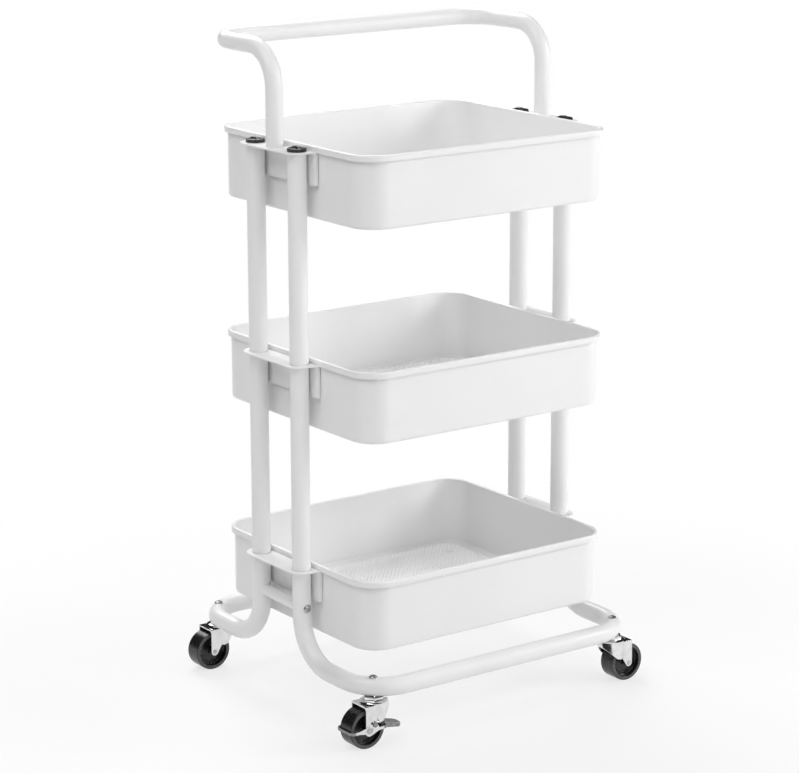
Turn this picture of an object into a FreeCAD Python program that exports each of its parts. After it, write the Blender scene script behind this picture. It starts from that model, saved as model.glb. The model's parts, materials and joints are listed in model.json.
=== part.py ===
"""Three-tier rolling cart: trays on poles, a push handle and four swivel casters.

Millimetres, +Z up. The origin is on the floor, midway between the four casters, X runs along the
long side of the trays and +Y points to the rear, where the handle leans.
"""
import FreeCAD, Part
import Sketcher
import math
import os

# Driving dimensions, one cell of the sheet each
DIMENSIONS = {
    # Trays
    "tray_length": 390.0,
    "tray_width": 342.0,
    "tray_corner": 40.0,
    "tray_depth": 92.0,
    "tray_sheet": 0.8,
    "tray_bottom_radius": 4.0,
    "rim_overhang": 4.2,
    "rim_rise": 6.7,
    "rim_radius": 1.6,
    "rim_clearance": 0.5,
    "floor_flange": 8.0,
    # Mesh floors
    "mesh_sheet": 1.0,
    "mesh_clearance": 0.4,
    "mesh_border": 9.0,
    "mesh_strand": 2.6,
    "mesh_columns": 17.0,
    "mesh_rows": 16.0,
    # Poles and their fixings
    "pole_diameter": 24.0,
    "tube_wall": 1.2,
    "pole_spacing": 93.0,
    "pole_gap": 0.6,
    "pole_end_chamfer": 0.5,
    "plug_length": 16.0,
    "stud_diameter": 8.0,
    "stud_reach": 14.0,
    "fit_clearance": 0.05,
    "hole_clearance": 0.2,
    # End brackets
    "plate_height": 196.8,
    "tier_spacing": 268.0,
    "bracket_sheet": 1.8,
    "bracket_drop": 42.0,
    "bracket_tab": 12.0,
    "plate_margin": 20.0,
    "rim_gap": 0.6,
    # Handle and knobs
    "handle_diameter": 22.0,
    "handle_height": 121.5,
    "handle_reach": 142.0,
    "handle_outset": 1.5,
    "handle_bend": 50.0,
    "handle_corner": 47.0,
    "knob_diameter": 24.6,
    "knob_height": 4.2,
    "knob_rounding": 1.2,
    "knob_grip_height": 6.9,
    "knob_grip_width": 7.0,
    "knob_grip_length": 21.0,
    "knob_grip_slope": 6.5,
    "knob_shank_depth": 2.8,
    # Base tubes and cross bars
    "rail_spacing": 393.0,
    "base_leg_bend": 61.0,
    "base_corner": 55.0,
    "cross_bar_diameter": 15.0,
    "cross_bar_height": 146.8,
    "cross_bar_grip": 16.0,
    "screw_diameter": 6.0,
    "screw_head_diameter": 11.0,
    "screw_head_height": 2.6,
    "screw_slot": 1.6,
    "screw_slot_length": 6.0,
    "thread_runout": 1.0,
    "caster_screw_length": 17.0,
    # Caster stems and swivel races
    "collar_height": 3.0,
    "collar_flats": 23.0,
    "dome_diameter": 35.0,
    "dome_height": 4.0,
    "dome_edge": 1.2,
    "stem_diameter": 10.0,
    "kingpin_diameter": 8.0,
    "retainer_diameter": 14.0,
    "retainer_thickness": 1.2,
    "race_gap": 0.3,
    "ball_diameter": 2.4,
    "ball_ring_diameter": 19.0,
    # Caster yokes, axles and wheels
    "caster_trail": 17.0,
    "wheel_diameter": 51.0,
    "wheel_width": 24.0,
    "wheel_rounding": 2.0,
    "wheel_rim": 5.5,
    "wheel_side_gap": 2.2,
    "wheel_web": 8.0,
    "hub_diameter": 9.0,
    "axle_diameter": 6.0,
    "axle_head_diameter": 7.0,
    "axle_head_height": 1.2,
    "running_fit": 0.05,
    "yoke_sheet": 1.8,
    "yoke_clearance": 3.5,
    "yoke_nose": 22.0,
    "yoke_step": 0.6,
    "yoke_leg_width": 15.7,
    "yoke_leg_end": 5.2,
    "yoke_leg_lean": 20.0,
    "yoke_skirt_drop": 23.7,
    "yoke_skirt_run": 10.0,
    "yoke_skirt_rise": 1.8,
    "yoke_nose_drop": 4.0,
    "yoke_nose_metal": 2.2,
    # Brake levers
    "lever_sheet": 1.2,
    "lever_gap": 0.3,
    "lever_pivot_forward": 7.5,
    "lever_pivot_rise": 6.5,
    "lever_eye": 4.0,
    "lever_boss": 7.5,
    "lever_slack": 0.9,
    "lever_slack_shift": 0.5,
    "lever_cap_diameter": 9.4,
    "lever_front": 14.0,
    "lever_tail": 16.0,
    "hoop_height": 3.6,
    "hoop_corner": 7.0,
    "lever_pin_diameter": 4.0,
    "lever_pin_head": 7.0,
    "shoe_gap": 1.6,
    "shoe_height": 10.0,
    "toe_length": 28.0,
    "toe_width": 19.0,
    "toe_rise": 2.5,
    "toe_fall": 6.0,
    "toe_thickness": 6.5,
    "toe_rounding": 8.5,
}

X_AXIS = FreeCAD.Vector(1, 0, 0)
Y_AXIS = FreeCAD.Vector(0, 1, 0)
Z_AXIS = FreeCAD.Vector(0, 0, 1)
NO_TURN = FreeCAD.Rotation()
HALF_TURN = FreeCAD.Rotation(Z_AXIS, 180)
LIE_ALONG_Y = FreeCAD.Rotation(X_AXIS, -90)
BALLS_IN_RACE = 12

doc = FreeCAD.newDocument("rolling_cart")
sheet = doc.addObject("Spreadsheet::Sheet", "sheet")
for row, (alias, size) in enumerate(DIMENSIONS.items(), start=1):
    sheet.set(f"A{row}", alias)
    sheet.set(f"B{row}", str(size))
    sheet.setAlias(f"B{row}", alias)
doc.recompute()
nodes = []

# Places that several pieces share, as sheet expressions
POLE_RADIUS = "(sheet.pole_diameter / 2)"
WALL_X = "(sheet.tray_length / 2 - sheet.rim_overhang)"
WALL_Y = "(sheet.tray_width / 2 - sheet.rim_overhang)"
WALL_CORNER = "(sheet.tray_corner - sheet.rim_overhang)"
RIM_HEIGHT = "(sheet.rim_rise + sheet.bracket_sheet - sheet.rim_clearance)"
BACK_INNER = "(sheet.tray_length / 2 + sheet.rim_gap)"
BACK_OUTER = f"({BACK_INNER} + sheet.bracket_sheet)"
POLE_X = f"({BACK_OUTER} + sheet.pole_gap + {POLE_RADIUS})"
POLE_Y = "(sheet.pole_spacing / 2)"
PLATE_TOP = {
    "bottom": "sheet.plate_height",
    "middle": "(sheet.plate_height + sheet.tier_spacing)",
    "top": "(sheet.plate_height + 2 * sheet.tier_spacing)",
}
WHEEL_RADIUS = "(sheet.wheel_diameter / 2)"
YOKE_UNDER = "(sheet.wheel_diameter + sheet.yoke_clearance)"
YOKE_TOP = f"({YOKE_UNDER} + sheet.yoke_sheet)"
DOME_TOP = f"({YOKE_TOP} + sheet.dome_height)"
RAIL_BOTTOM = f"({DOME_TOP} + sheet.collar_height)"
RAIL_HEIGHT = f"({RAIL_BOTTOM} + {POLE_RADIUS})"
RAIL_Y = "(sheet.rail_spacing / 2)"
BEND_MIDDLE = "(sheet.base_corner * (1 - sqrt(0.5)))"
CASTER_X = f"({POLE_X} - {BEND_MIDDLE})"
CASTER_Y = f"({RAIL_Y} - {BEND_MIDDLE})"
YOKE_INNER = "(sheet.wheel_width / 2 + sheet.wheel_side_gap)"
YOKE_OUTER = f"({YOKE_INNER} + sheet.yoke_sheet)"
LEVER_INNER = f"({YOKE_OUTER} + sheet.lever_gap)"
LEVER_OUTER = f"({LEVER_INNER} + sheet.lever_sheet)"
LEVER_SEAT = f"({LEVER_OUTER} + sheet.lever_gap)"
PIVOT_X = "(sheet.caster_trail - sheet.lever_pivot_forward)"
PIVOT_Z = f"({WHEEL_RADIUS} + sheet.lever_pivot_rise)"
SIDES = {"left": -1, "right": 1}
ENDS = {"front": -1, "rear": 1}


def value(expression):
    """The number that a sheet expression stands for."""
    return float(sheet.evalExpression(expression))


def bind(piece, **sizes):
    """Ties properties of a piece to sheet expressions."""
    for name, expression in sizes.items():
        piece.setExpression(name, expression)


def place(piece, x="0", y="0", z="0", turn=NO_TURN):
    """Turns a piece and ties its place to sheet expressions."""
    piece.Placement = FreeCAD.Placement(FreeCAD.Vector(), turn)
    for axis, expression in zip("xyz", (x, y, z)):
        piece.setExpression(f"Placement.Base.{axis}", expression)


def publish(piece, label):
    """Names a finished piece as a node of the part."""
    piece.Label = label
    nodes.append(piece)
    return piece


# Sketches and features


def new_body(label):
    return doc.addObject("PartDesign::Body", label)


def new_sketch(body, role, height="0"):
    """A sketch on one of the body's own origin planes, raised along its normal."""
    sketch = body.newObject("Sketcher::SketchObject", f"{body.Name}_sketch")
    plane = next(feature for feature in body.Origin.OriginFeatures if feature.Role == role)
    sketch.AttachmentSupport = [(plane, "")]
    sketch.MapMode = "FlatFace"
    sketch.setExpression("AttachmentOffset.Base.z", height)
    return sketch


def fix(sketch, kind, *place_and_size):
    """Adds a dimension whose last value is a sheet expression."""
    *where, expression = place_and_size
    index = sketch.addConstraint(Sketcher.Constraint(kind, *where, value(expression)))
    sketch.setExpression(f"Constraints[{index}]", expression)


def fix_point(sketch, geometry, position, x, y):
    fix(sketch, "DistanceX", -1, 1, geometry, position, x)
    fix(sketch, "DistanceY", -1, 1, geometry, position, y)


def arc_between(first, second, radius, turn):
    """The short arc from first to second: turn is 1 for counter-clockwise, -1 for clockwise."""
    chord = second - first
    middle = (first + second) * 0.5
    rise = math.sqrt(max(radius ** 2 - (chord.Length / 2) ** 2, 0.0))
    left = FreeCAD.Vector(-chord.y, chord.x, 0).normalize()
    center = middle + left * rise * turn
    start, end = (first, second) if turn > 0 else (second, first)
    angles = [math.atan2(point.y - center.y, point.x - center.x) for point in (start, end)]
    return Part.ArcOfCircle(Part.Circle(center, Z_AXIS, radius), angles[0], angles[1])


def outline(sketch, corners, arcs=None):
    """A closed outline: corners are pairs of expressions, arcs give a side's radius and turn."""
    arcs = arcs or {}
    points = [FreeCAD.Vector(value(x), value(y), 0) for x, y in corners]
    sides = []
    for side, first in enumerate(points):
        second = points[(side + 1) % len(points)]
        radius, turn = arcs.get(side, (None, 1))
        if radius:
            curve = arc_between(first, second, value(radius), turn)
        else:
            curve = Part.LineSegment(first, second)
        start, end = (1, 2) if turn > 0 else (2, 1)
        sides.append((sketch.addGeometry(curve), start, end))
    for side, (geometry, start, end) in enumerate(sides):
        following, following_start, _ = sides[(side + 1) % len(sides)]
        sketch.addConstraint(
            Sketcher.Constraint("Coincident", geometry, end, following, following_start)
        )
        fix_point(sketch, geometry, start, *corners[side])
        if side in arcs:
            fix(sketch, "Radius", geometry, arcs[side][0])


def rounded_rectangle(sketch, half_length, half_width, radius, middle="0"):
    inner_x = f"({half_length} - {radius})"
    inner_y = f"({half_width} - {radius})"
    corners = [
        (f"{middle} - {inner_x}", f"-{half_width}"), (f"{middle} + {inner_x}", f"-{half_width}"),
        (f"{middle} + {half_length}", f"-{inner_y}"), (f"{middle} + {half_length}", inner_y),
        (f"{middle} + {inner_x}", half_width), (f"{middle} - {inner_x}", half_width),
        (f"{middle} - {half_length}", inner_y), (f"{middle} - {half_length}", f"-{inner_y}"),
    ]
    outline(sketch, corners, {side: (radius, 1) for side in (1, 3, 5, 7)})


def circle(sketch, radius, x="0", y="0"):
    center = FreeCAD.Vector(value(x), value(y), 0)
    geometry = sketch.addGeometry(Part.Circle(center, Z_AXIS, value(radius)))
    fix_point(sketch, geometry, 3, x, y)
    fix(sketch, "Radius", geometry, radius)


def pad(body, sketch, length, both_ways=False):
    feature = body.newObject("PartDesign::Pad", f"{body.Name}_pad")
    feature.Profile = sketch
    feature.setExpression("Length", length)
    if both_ways:
        feature.SideType = "Symmetric"
    doc.recompute()
    return feature


def pocket(body, sketch, length, both_ways=False, upward=False):
    """Cuts a sketch out of the body, and stops if nothing was cut."""
    before = body.Shape.Volume
    feature = body.newObject("PartDesign::Pocket", f"{body.Name}_pocket")
    feature.Profile = sketch
    feature.setExpression("Length", length)
    feature.Reversed = upward
    if both_ways:
        feature.SideType = "Symmetric"
    doc.recompute()
    if not feature.Shape.Volume < before - 1e-3:
        raise RuntimeError(f"{feature.Name} cuts nothing")
    return feature


def revolve(body, sketch):
    feature = body.newObject("PartDesign::Revolution", f"{body.Name}_revolution")
    feature.Profile = sketch
    feature.ReferenceAxis = (sketch, ["V_Axis"])
    feature.Angle = 360
    doc.recompute()
    return feature


def soften(body, feature, radius, faces=None, edges=None, kind="Fillet", size="Radius"):
    """Fillets or chamfers the faces' edges, or the edges, that pass a test."""
    names = []
    for test, prefix, found in ((faces, "Face", feature.Shape.Faces), (edges, "Edge", feature.Shape.Edges)):
        if test:
            names += [f"{prefix}{i}" for i, item in enumerate(found, start=1) if test(item)]
    softened = body.newObject(f"PartDesign::{kind}", f"{body.Name}_{kind}")
    softened.Base = (feature, names)
    softened.setExpression(size, radius)
    doc.recompute()
    return softened


def level_face(height):
    """A test for flat faces at one height."""
    return lambda face: face.BoundBox.ZLength < 1e-6 and abs(face.BoundBox.ZMin - height) < 1e-4


# Solids and groups


def cylinder(name, radius, length, x="0", y="0", z="0", turn=NO_TURN):
    solid = doc.addObject("Part::Cylinder", name)
    bind(solid, Radius=radius, Height=length)
    place(solid, x, y, z, turn)
    return solid


def cut(name, base, tool):
    result = doc.addObject("Part::Cut", name)
    result.Base = base
    result.Tool = tool
    return result


def group(name, solids):
    compound = doc.addObject("Part::Compound", name)
    compound.Links = solids
    return compound


def mirrored(source, normal):
    copy = doc.addObject("Part::Mirroring", f"{source.Name}_mirrored")
    copy.Source = source
    copy.Normal = normal
    return copy


def at_four_corners(label, solids):
    """One node: solids built at the right rear corner, repeated at the other three."""
    corner = group(f"{label}_corner", solids)
    rear = group(f"{label}_rear", [corner, mirrored(corner, X_AXIS)])
    return publish(group(label, [rear, mirrored(rear, Y_AXIS)]), label)


# Bent tubes


def rounded_path(name, corners, radii):
    """A wire of straight runs joined by tangent arcs at the inner corners."""
    points = [FreeCAD.Vector(*[value(axis) for axis in corner]) for corner in corners]
    edges = []
    start = points[0]
    for before, corner, after, radius in zip(points, points[1:], points[2:], radii):
        back = (before - corner).normalize()
        ahead = (after - corner).normalize()
        bend = value(radius)
        reach = bend / math.tan(back.getAngle(ahead) / 2)
        inward = (back + ahead).normalize()
        center = corner + inward * math.hypot(reach, bend)
        arc_start = corner + back * reach
        arc_end = corner + ahead * reach
        edges.append(Part.LineSegment(start, arc_start).toShape())
        edges.append(Part.Arc(arc_start, center - inward * bend, arc_end).toShape())
        start = arc_end
    edges.append(Part.LineSegment(start, points[-1]).toShape())
    path = doc.addObject("Part::Feature", name)
    path.Shape = Part.Wire(edges)
    return path


def swept_rod(name, path, radius, corner):
    """A round rod along a path that starts upright at the given corner."""
    profile = doc.addObject("Part::Circle", f"{name}_profile")
    bind(profile, Radius=radius)
    place(profile, *corner)
    rod = doc.addObject("Part::Sweep", name)
    rod.Sections = [profile]
    rod.Spine = (path, [f"Edge{i}" for i in range(1, len(path.Shape.Edges) + 1)])
    rod.Solid = True
    return rod


def bent_tube(name, corners, radii, diameter):
    path = rounded_path(f"{name}_path", corners, radii)
    outside = swept_rod(f"{name}_outside", path, f"{diameter} / 2", corners[0])
    inside = swept_rod(f"{name}_inside", path, f"{diameter} / 2 - sheet.tube_wall", corners[0])
    return cut(f"{name}_tube", outside, inside)


def make_handle():
    x = f"({POLE_X} + sheet.handle_outset)"
    foot = PLATE_TOP["top"]
    bar = f"({foot} + sheet.handle_height)"
    reach = "sheet.handle_reach"
    corners = [
        (f"-{x}", "0", foot), (f"-{x}", "0", bar), (f"-{x}", reach, bar),
        (x, reach, bar), (x, "0", bar), (x, "0", foot),
    ]
    radii = ["sheet.handle_bend", "sheet.handle_corner", "sheet.handle_corner", "sheet.handle_bend"]
    publish(bent_tube("handle", corners, radii, "sheet.handle_diameter"), "handle")


def make_base_tube(end):
    """One bent tube with a leg at each side, drilled for cross bars and casters."""
    sign = ENDS[end]
    top = f"({PLATE_TOP['bottom']} - sheet.bracket_sheet)"
    leg_y = f"{sign} * {POLE_Y}"
    rail_y = f"{sign} * {RAIL_Y}"
    corners = [
        (f"-{POLE_X}", leg_y, top), (f"-{POLE_X}", leg_y, RAIL_HEIGHT),
        (f"-{POLE_X}", rail_y, RAIL_HEIGHT), (POLE_X, rail_y, RAIL_HEIGHT),
        (POLE_X, leg_y, RAIL_HEIGHT), (POLE_X, leg_y, top),
    ]
    radii = ["sheet.base_leg_bend", "sheet.base_corner", "sheet.base_corner", "sheet.base_leg_bend"]
    name = f"base_tube_{end}"
    tube = bent_tube(name, corners, radii, "sheet.pole_diameter")
    screw_hole = "sheet.screw_diameter / 2 + sheet.hole_clearance"
    stem_hole = "sheet.stem_diameter / 2 + sheet.hole_clearance"
    drills = []
    for side in SIDES.values():
        x = f"{side} * {CASTER_X}"
        y = f"{sign} * {CASTER_Y}"
        drills.append(cylinder(f"{name}_stem_drill", stem_hole, POLE_RADIUS, x, y,
                               f"{RAIL_BOTTOM} - {POLE_RADIUS} / 2"))
        drills.append(cylinder(f"{name}_screw_drill", screw_hole, "sheet.pole_diameter", x, y,
                               RAIL_HEIGHT))
        drills.append(cylinder(f"{name}_bar_drill", screw_hole, "2 * sheet.pole_diameter",
                               f"{side} * {POLE_X}", f"{leg_y} - sheet.pole_diameter",
                               "sheet.cross_bar_height", LIE_ALONG_Y))
    publish(cut(name, tube, group(f"{name}_drills", drills)), name)


# Poles, plugs and studs


def make_pole(label, side, end, bottom):
    body = new_body(label)
    ring = new_sketch(body, "XY_Plane")
    circle(ring, POLE_RADIUS)
    circle(ring, f"{POLE_RADIUS} - sheet.tube_wall")
    tube = pad(body, ring, "sheet.tier_spacing - sheet.bracket_sheet")
    outside = value(POLE_RADIUS)
    soften(body, tube, "sheet.pole_end_chamfer", kind="Chamfer", size="Size",
           edges=lambda edge: edge.Closed and abs(edge.BoundBox.XMax - outside) < 1e-4)
    place(body, f"{SIDES[side]} * {POLE_X}", f"{ENDS[end]} * {POLE_Y}", bottom)
    publish(body, label)


def plug(name, bottom):
    """A threaded plug in a tube at the right rear pole line."""
    radius = f"{POLE_RADIUS} - sheet.tube_wall - sheet.fit_clearance"
    bore = "sheet.stud_diameter / 2 + sheet.fit_clearance"
    block = cylinder(f"{name}_block", radius, "sheet.plug_length", POLE_X, POLE_Y, bottom)
    thread = cylinder(f"{name}_thread", bore, "sheet.plug_length", POLE_X, POLE_Y, bottom)
    return cut(name, block, thread)


def make_plugs():
    for tube, low, high in (("upper_pole", "middle", "top"), ("lower_pole", "bottom", "middle")):
        under = plug(f"{tube}_plug_under", PLATE_TOP[low])
        above = plug(f"{tube}_plug_above",
                     f"{PLATE_TOP[high]} - sheet.bracket_sheet - sheet.plug_length")
        at_four_corners(f"{tube}_plugs", [under, above])
    leg = plug("base_leg_plug", f"{PLATE_TOP['bottom']} - sheet.bracket_sheet - sheet.plug_length")
    at_four_corners("base_leg_plugs", [leg])


def make_studs():
    for tier in ("middle", "bottom"):
        stud = cylinder(f"{tier}_stud", "sheet.stud_diameter / 2",
                        "2 * sheet.stud_reach + sheet.bracket_sheet", POLE_X, POLE_Y,
                        f"{PLATE_TOP[tier]} - sheet.bracket_sheet - sheet.stud_reach")
        at_four_corners(f"{tier}_pole_studs", [stud])


# Knobs


def make_knob(label, side, end):
    """A thumb knob: a rounded disc with a grip across it and a blind hole for its shank."""
    radius = "(sheet.knob_diameter / 2)"
    bore = "(sheet.stud_diameter / 2 + sheet.fit_clearance)"
    body = new_body(label)
    profile = new_sketch(body, "XZ_Plane")
    outline(profile, [
        (bore, "0"), (radius, "0"), (radius, "sheet.knob_height - sheet.knob_rounding"),
        (f"{radius} - sheet.knob_rounding", "sheet.knob_height"), ("0", "sheet.knob_height"),
        ("0", "sheet.knob_shank_depth"), (bore, "sheet.knob_shank_depth"),
    ], {2: ("sheet.knob_rounding", 1)})
    revolve(body, profile)
    half = "(sheet.knob_grip_width / 2)"
    flat = f"({half} - sheet.knob_rounding)"
    low = "(sheet.knob_height - sheet.knob_rounding)"
    high = "sheet.knob_grip_height"
    grip = new_sketch(body, "XZ_Plane")
    outline(grip, [
        (f"-{half}", low), (half, low), (half, f"{high} - sheet.knob_rounding"), (flat, high),
        (f"-{flat}", high), (f"-{half}", f"{high} - sheet.knob_rounding"),
    ], {2: ("sheet.knob_rounding", 1), 4: ("sheet.knob_rounding", 1)})
    pad(body, grip, "sheet.knob_grip_length", both_ways=True)
    foot = "(sheet.knob_grip_length / 2)"
    crown = f"({foot} - sheet.knob_grip_slope)"
    slopes = new_sketch(body, "YZ_Plane")
    for way in ENDS.values():
        ramp = [(f"{way} * {crown}", high), (f"{way} * {foot}", "sheet.knob_height"),
                (f"{way} * {radius}", "sheet.knob_height"), (f"{way} * {radius}", f"2 * {high}"),
                (f"{way} * {crown}", f"2 * {high}")]
        outline(slopes, ramp[::way])
    pocket(body, slopes, "2 * sheet.knob_grip_width", both_ways=True)
    place(body, f"{SIDES[side]} * {POLE_X}", f"{ENDS[end]} * {POLE_Y}", PLATE_TOP["top"])
    publish(body, label)


def make_knob_shanks():
    bottom = f"{PLATE_TOP['top']} - sheet.bracket_sheet - sheet.stud_reach"
    length = "sheet.stud_reach + sheet.bracket_sheet + sheet.knob_shank_depth - sheet.fit_clearance"
    shank = cylinder("knob_shank", "sheet.stud_diameter / 2", length, POLE_X, POLE_Y, bottom)
    at_four_corners("knob_shanks", [shank])


# Trays, mesh floors and brackets


def make_tray(tier):
    """A pressed pan: a wall with a turned-down rim and a narrow flange that carries the mesh."""
    label = f"{tier}_tray"
    body = new_body(label)
    sheet_metal = "sheet.tray_sheet"
    depth = "sheet.tray_depth"

    def ring(height, *insets):
        """A sketch of the wall's outline, set in by each given distance."""
        sketch = new_sketch(body, "XY_Plane", height)
        for inset in insets:
            rounded_rectangle(sketch, f"({WALL_X} - {inset})", f"({WALL_Y} - {inset})",
                              f"({WALL_CORNER} - {inset})")
        return sketch

    pad(body, ring("0", "0"), depth)
    pad(body, ring(f"{depth} - {RIM_HEIGHT}", "(-sheet.rim_overhang)"), RIM_HEIGHT)
    hollow = pocket(body, ring(depth, sheet_metal), f"{depth} - {sheet_metal}")
    inside = soften(body, hollow, f"sheet.tray_bottom_radius - {sheet_metal}",
                    faces=level_face(value(sheet_metal)))
    soften(body, inside, "sheet.tray_bottom_radius", faces=level_face(0.0))
    pocket(body, ring(sheet_metal, f"({sheet_metal} + sheet.floor_flange)"), sheet_metal)
    hem = pocket(body, ring(f"{depth} - {RIM_HEIGHT}", "0", f"({sheet_metal} - sheet.rim_overhang)"),
                 f"{RIM_HEIGHT} - {sheet_metal}", upward=True)
    soften(body, hem, "sheet.rim_radius", faces=level_face(value(depth)))
    place(body, z=f"{PLATE_TOP[tier]} + sheet.rim_rise - {depth}")
    publish(body, label)


def rounded_plan(half_length, half_width, radius):
    """A rounded rectangle as a closed wire at height zero."""
    box = Part.makePlane(2 * half_length, 2 * half_width, FreeCAD.Vector(-half_length, -half_width, 0))
    plate = box.extrude(Z_AXIS)
    upright = [edge for edge in plate.Edges if edge.BoundBox.ZLength > 0.5]
    rounded = plate.makeFillet(radius, upright)
    floor = next(face for face in rounded.Faces if level_face(0.0)(face))
    return floor.OuterWire


def mesh_openings(half_length, half_width, radius):
    """Diamond openings of the mesh in staggered rows, clear of the border."""
    columns = int(value("sheet.mesh_columns"))
    rows = int(value("sheet.mesh_rows"))
    strand = value("sheet.mesh_strand")
    step_x = 2 * half_length / columns
    step_y = 2 * half_width / rows
    reach_x = (step_x - strand) / 2
    reach_y = step_y - strand
    openings = []
    for row in range(1, rows):
        stagger = row % 2
        for column in range(columns - stagger):
            x = -half_length + (column + 0.5 + stagger / 2) * step_x
            y = -half_width + row * step_y
            over_x = abs(x) + reach_x - (half_length - radius)
            over_y = abs(y) + reach_y - (half_width - radius)
            if min(over_x, over_y) > 0 and math.hypot(over_x, over_y) > radius:
                continue
            ends = [(x - reach_x, y), (x, y - reach_y), (x + reach_x, y), (x, y + reach_y)]
            points = [FreeCAD.Vector(across, along, 0) for across, along in ends]
            openings.append(Part.makePolygon(points + points[:1]))
    return openings


def make_mesh_floor(tier):
    """A flat sheet of expanded metal that lies on the tray's flange."""
    inset = value("sheet.tray_bottom_radius + sheet.mesh_clearance")
    half_length = value(WALL_X) - inset
    half_width = value(WALL_Y) - inset
    radius = value(WALL_CORNER) - inset
    border = value("sheet.mesh_border")
    openings = mesh_openings(half_length - border, half_width - border, radius - border)
    wires = [rounded_plan(half_length, half_width, radius)] + openings
    face = Part.makeFace(wires, "Part::FaceMakerBullseye")
    floor = doc.addObject("Part::Feature", f"{tier}_mesh_floor")
    floor.Shape = face.extrude(Z_AXIS * value("sheet.mesh_sheet"))
    place(floor, z=f"{PLATE_TOP[tier]} + sheet.rim_rise - sheet.tray_depth + sheet.tray_sheet")
    publish(floor, f"{tier}_mesh_floor")


def make_bracket(tier, side):
    """A folded end bracket: a plate under the poles and a channel welded to the tray's wall."""
    label = f"{tier}_bracket_{side}"
    body = new_body(label)
    metal = "sheet.bracket_sheet"
    half = f"({POLE_Y} + sheet.plate_margin)"
    edge = f"({POLE_X} + sheet.plate_margin)"
    plate = new_sketch(body, "XY_Plane", f"-{metal}")
    outline(plate, [
        (BACK_INNER, f"-{half}"), (POLE_X, f"-{half}"), (edge, f"-{POLE_Y}"),
        (edge, POLE_Y), (POLE_X, half), (BACK_INNER, half),
    ], {1: ("sheet.plate_margin", 1), 3: ("sheet.plate_margin", 1)})
    for end in ENDS.values():
        circle(plate, "sheet.stud_diameter / 2 + sheet.hole_clearance", POLE_X, f"{end} * {POLE_Y}")
    pad(body, plate, metal)
    tab_face = f"({WALL_X} + {metal})"
    tab_end = f"({half} - sheet.bracket_tab)"
    fold = f"({half} - {metal})"
    channel = new_sketch(body, "XY_Plane", "-sheet.bracket_drop")
    outline(channel, [
        (BACK_OUTER, f"-{half}"), (BACK_OUTER, half), (WALL_X, half), (WALL_X, tab_end),
        (tab_face, tab_end), (tab_face, fold), (BACK_INNER, fold), (BACK_INNER, f"-{fold}"),
        (tab_face, f"-{fold}"), (tab_face, f"-{tab_end}"), (WALL_X, f"-{tab_end}"), (WALL_X, f"-{half}"),
    ])
    pad(body, channel, f"sheet.bracket_drop - {metal}")
    place(body, z=PLATE_TOP[tier], turn=NO_TURN if side == "right" else HALF_TURN)
    publish(body, label)


# Cross bars and screws


def make_cross_bar(side):
    """A bar between two legs, its ends hollowed to sit on them and tapped for screws."""
    label = f"cross_bar_{side}"
    body = new_body(label)
    section = new_sketch(body, "XZ_Plane")
    circle(section, "sheet.cross_bar_diameter / 2")
    pad(body, section, "sheet.pole_spacing", both_ways=True)
    saddles = new_sketch(body, "XY_Plane")
    for end in ENDS.values():
        circle(saddles, f"{POLE_RADIUS} + sheet.fit_clearance", y=f"{end} * {POLE_Y}")
    pocket(body, saddles, "2 * sheet.cross_bar_diameter", both_ways=True)
    for end, upward in ((1, False), (-1, True)):
        thread = new_sketch(body, "XZ_Plane", f"{end} * sheet.pole_spacing / 2")
        circle(thread, "sheet.screw_diameter / 2 + sheet.fit_clearance")
        pocket(body, thread, f"{POLE_RADIUS} + sheet.cross_bar_grip + sheet.thread_runout", upward=upward)
    place(body, f"{SIDES[side]} * {POLE_X}", z="sheet.cross_bar_height")
    publish(body, label)


def screw(name, length):
    """A round-headed screw with a cross slot, pointing down from the underside of its head."""
    body = new_body(name)
    shank = "(sheet.screw_diameter / 2)"
    head = "(sheet.screw_head_diameter / 2)"
    rise = "sheet.screw_head_height"
    profile = new_sketch(body, "XZ_Plane")
    outline(profile, [
        ("0", f"-{length}"), (shank, f"-{length}"), (shank, "0"), (head, "0"),
        (head, f"{rise} / 3"), (f"{head} / 2", rise), ("0", rise),
    ], {4: (head, 1)})
    revolve(body, profile)
    slot = new_sketch(body, "XY_Plane", rise)
    thin = "(sheet.screw_slot / 2)"
    long = "(sheet.screw_slot_length / 2)"
    outline(slot, [
        (thin, thin), (long, thin), (long, f"-{thin}"), (thin, f"-{thin}"), (thin, f"-{long}"),
        (f"-{thin}", f"-{long}"), (f"-{thin}", f"-{thin}"), (f"-{long}", f"-{thin}"),
        (f"-{long}", thin), (f"-{thin}", thin), (f"-{thin}", long), (thin, long),
    ])
    pocket(body, slot, f"{rise} / 2")
    return body


def make_screws():
    bar_screw = screw("cross_bar_screw", "(sheet.pole_diameter + sheet.cross_bar_grip)")
    place(bar_screw, POLE_X, f"{POLE_Y} + {POLE_RADIUS}", "sheet.cross_bar_height", LIE_ALONG_Y)
    at_four_corners("cross_bar_screws", [bar_screw])
    stem_screw = screw("caster_screw", "sheet.caster_screw_length")
    place(stem_screw, CASTER_X, CASTER_Y, f"{RAIL_HEIGHT} + {POLE_RADIUS}")
    at_four_corners("caster_screws", [stem_screw])


# Casters, built with the wheel trailing along +X


def place_caster(body, label, side, end):
    """Sets a caster piece under its corner, trailing outward."""
    turn = NO_TURN if side == "right" else HALF_TURN
    place(body, f"{SIDES[side]} * {CASTER_X}", f"{ENDS[end]} * {CASTER_Y}", turn=turn)
    publish(body, label)


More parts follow.
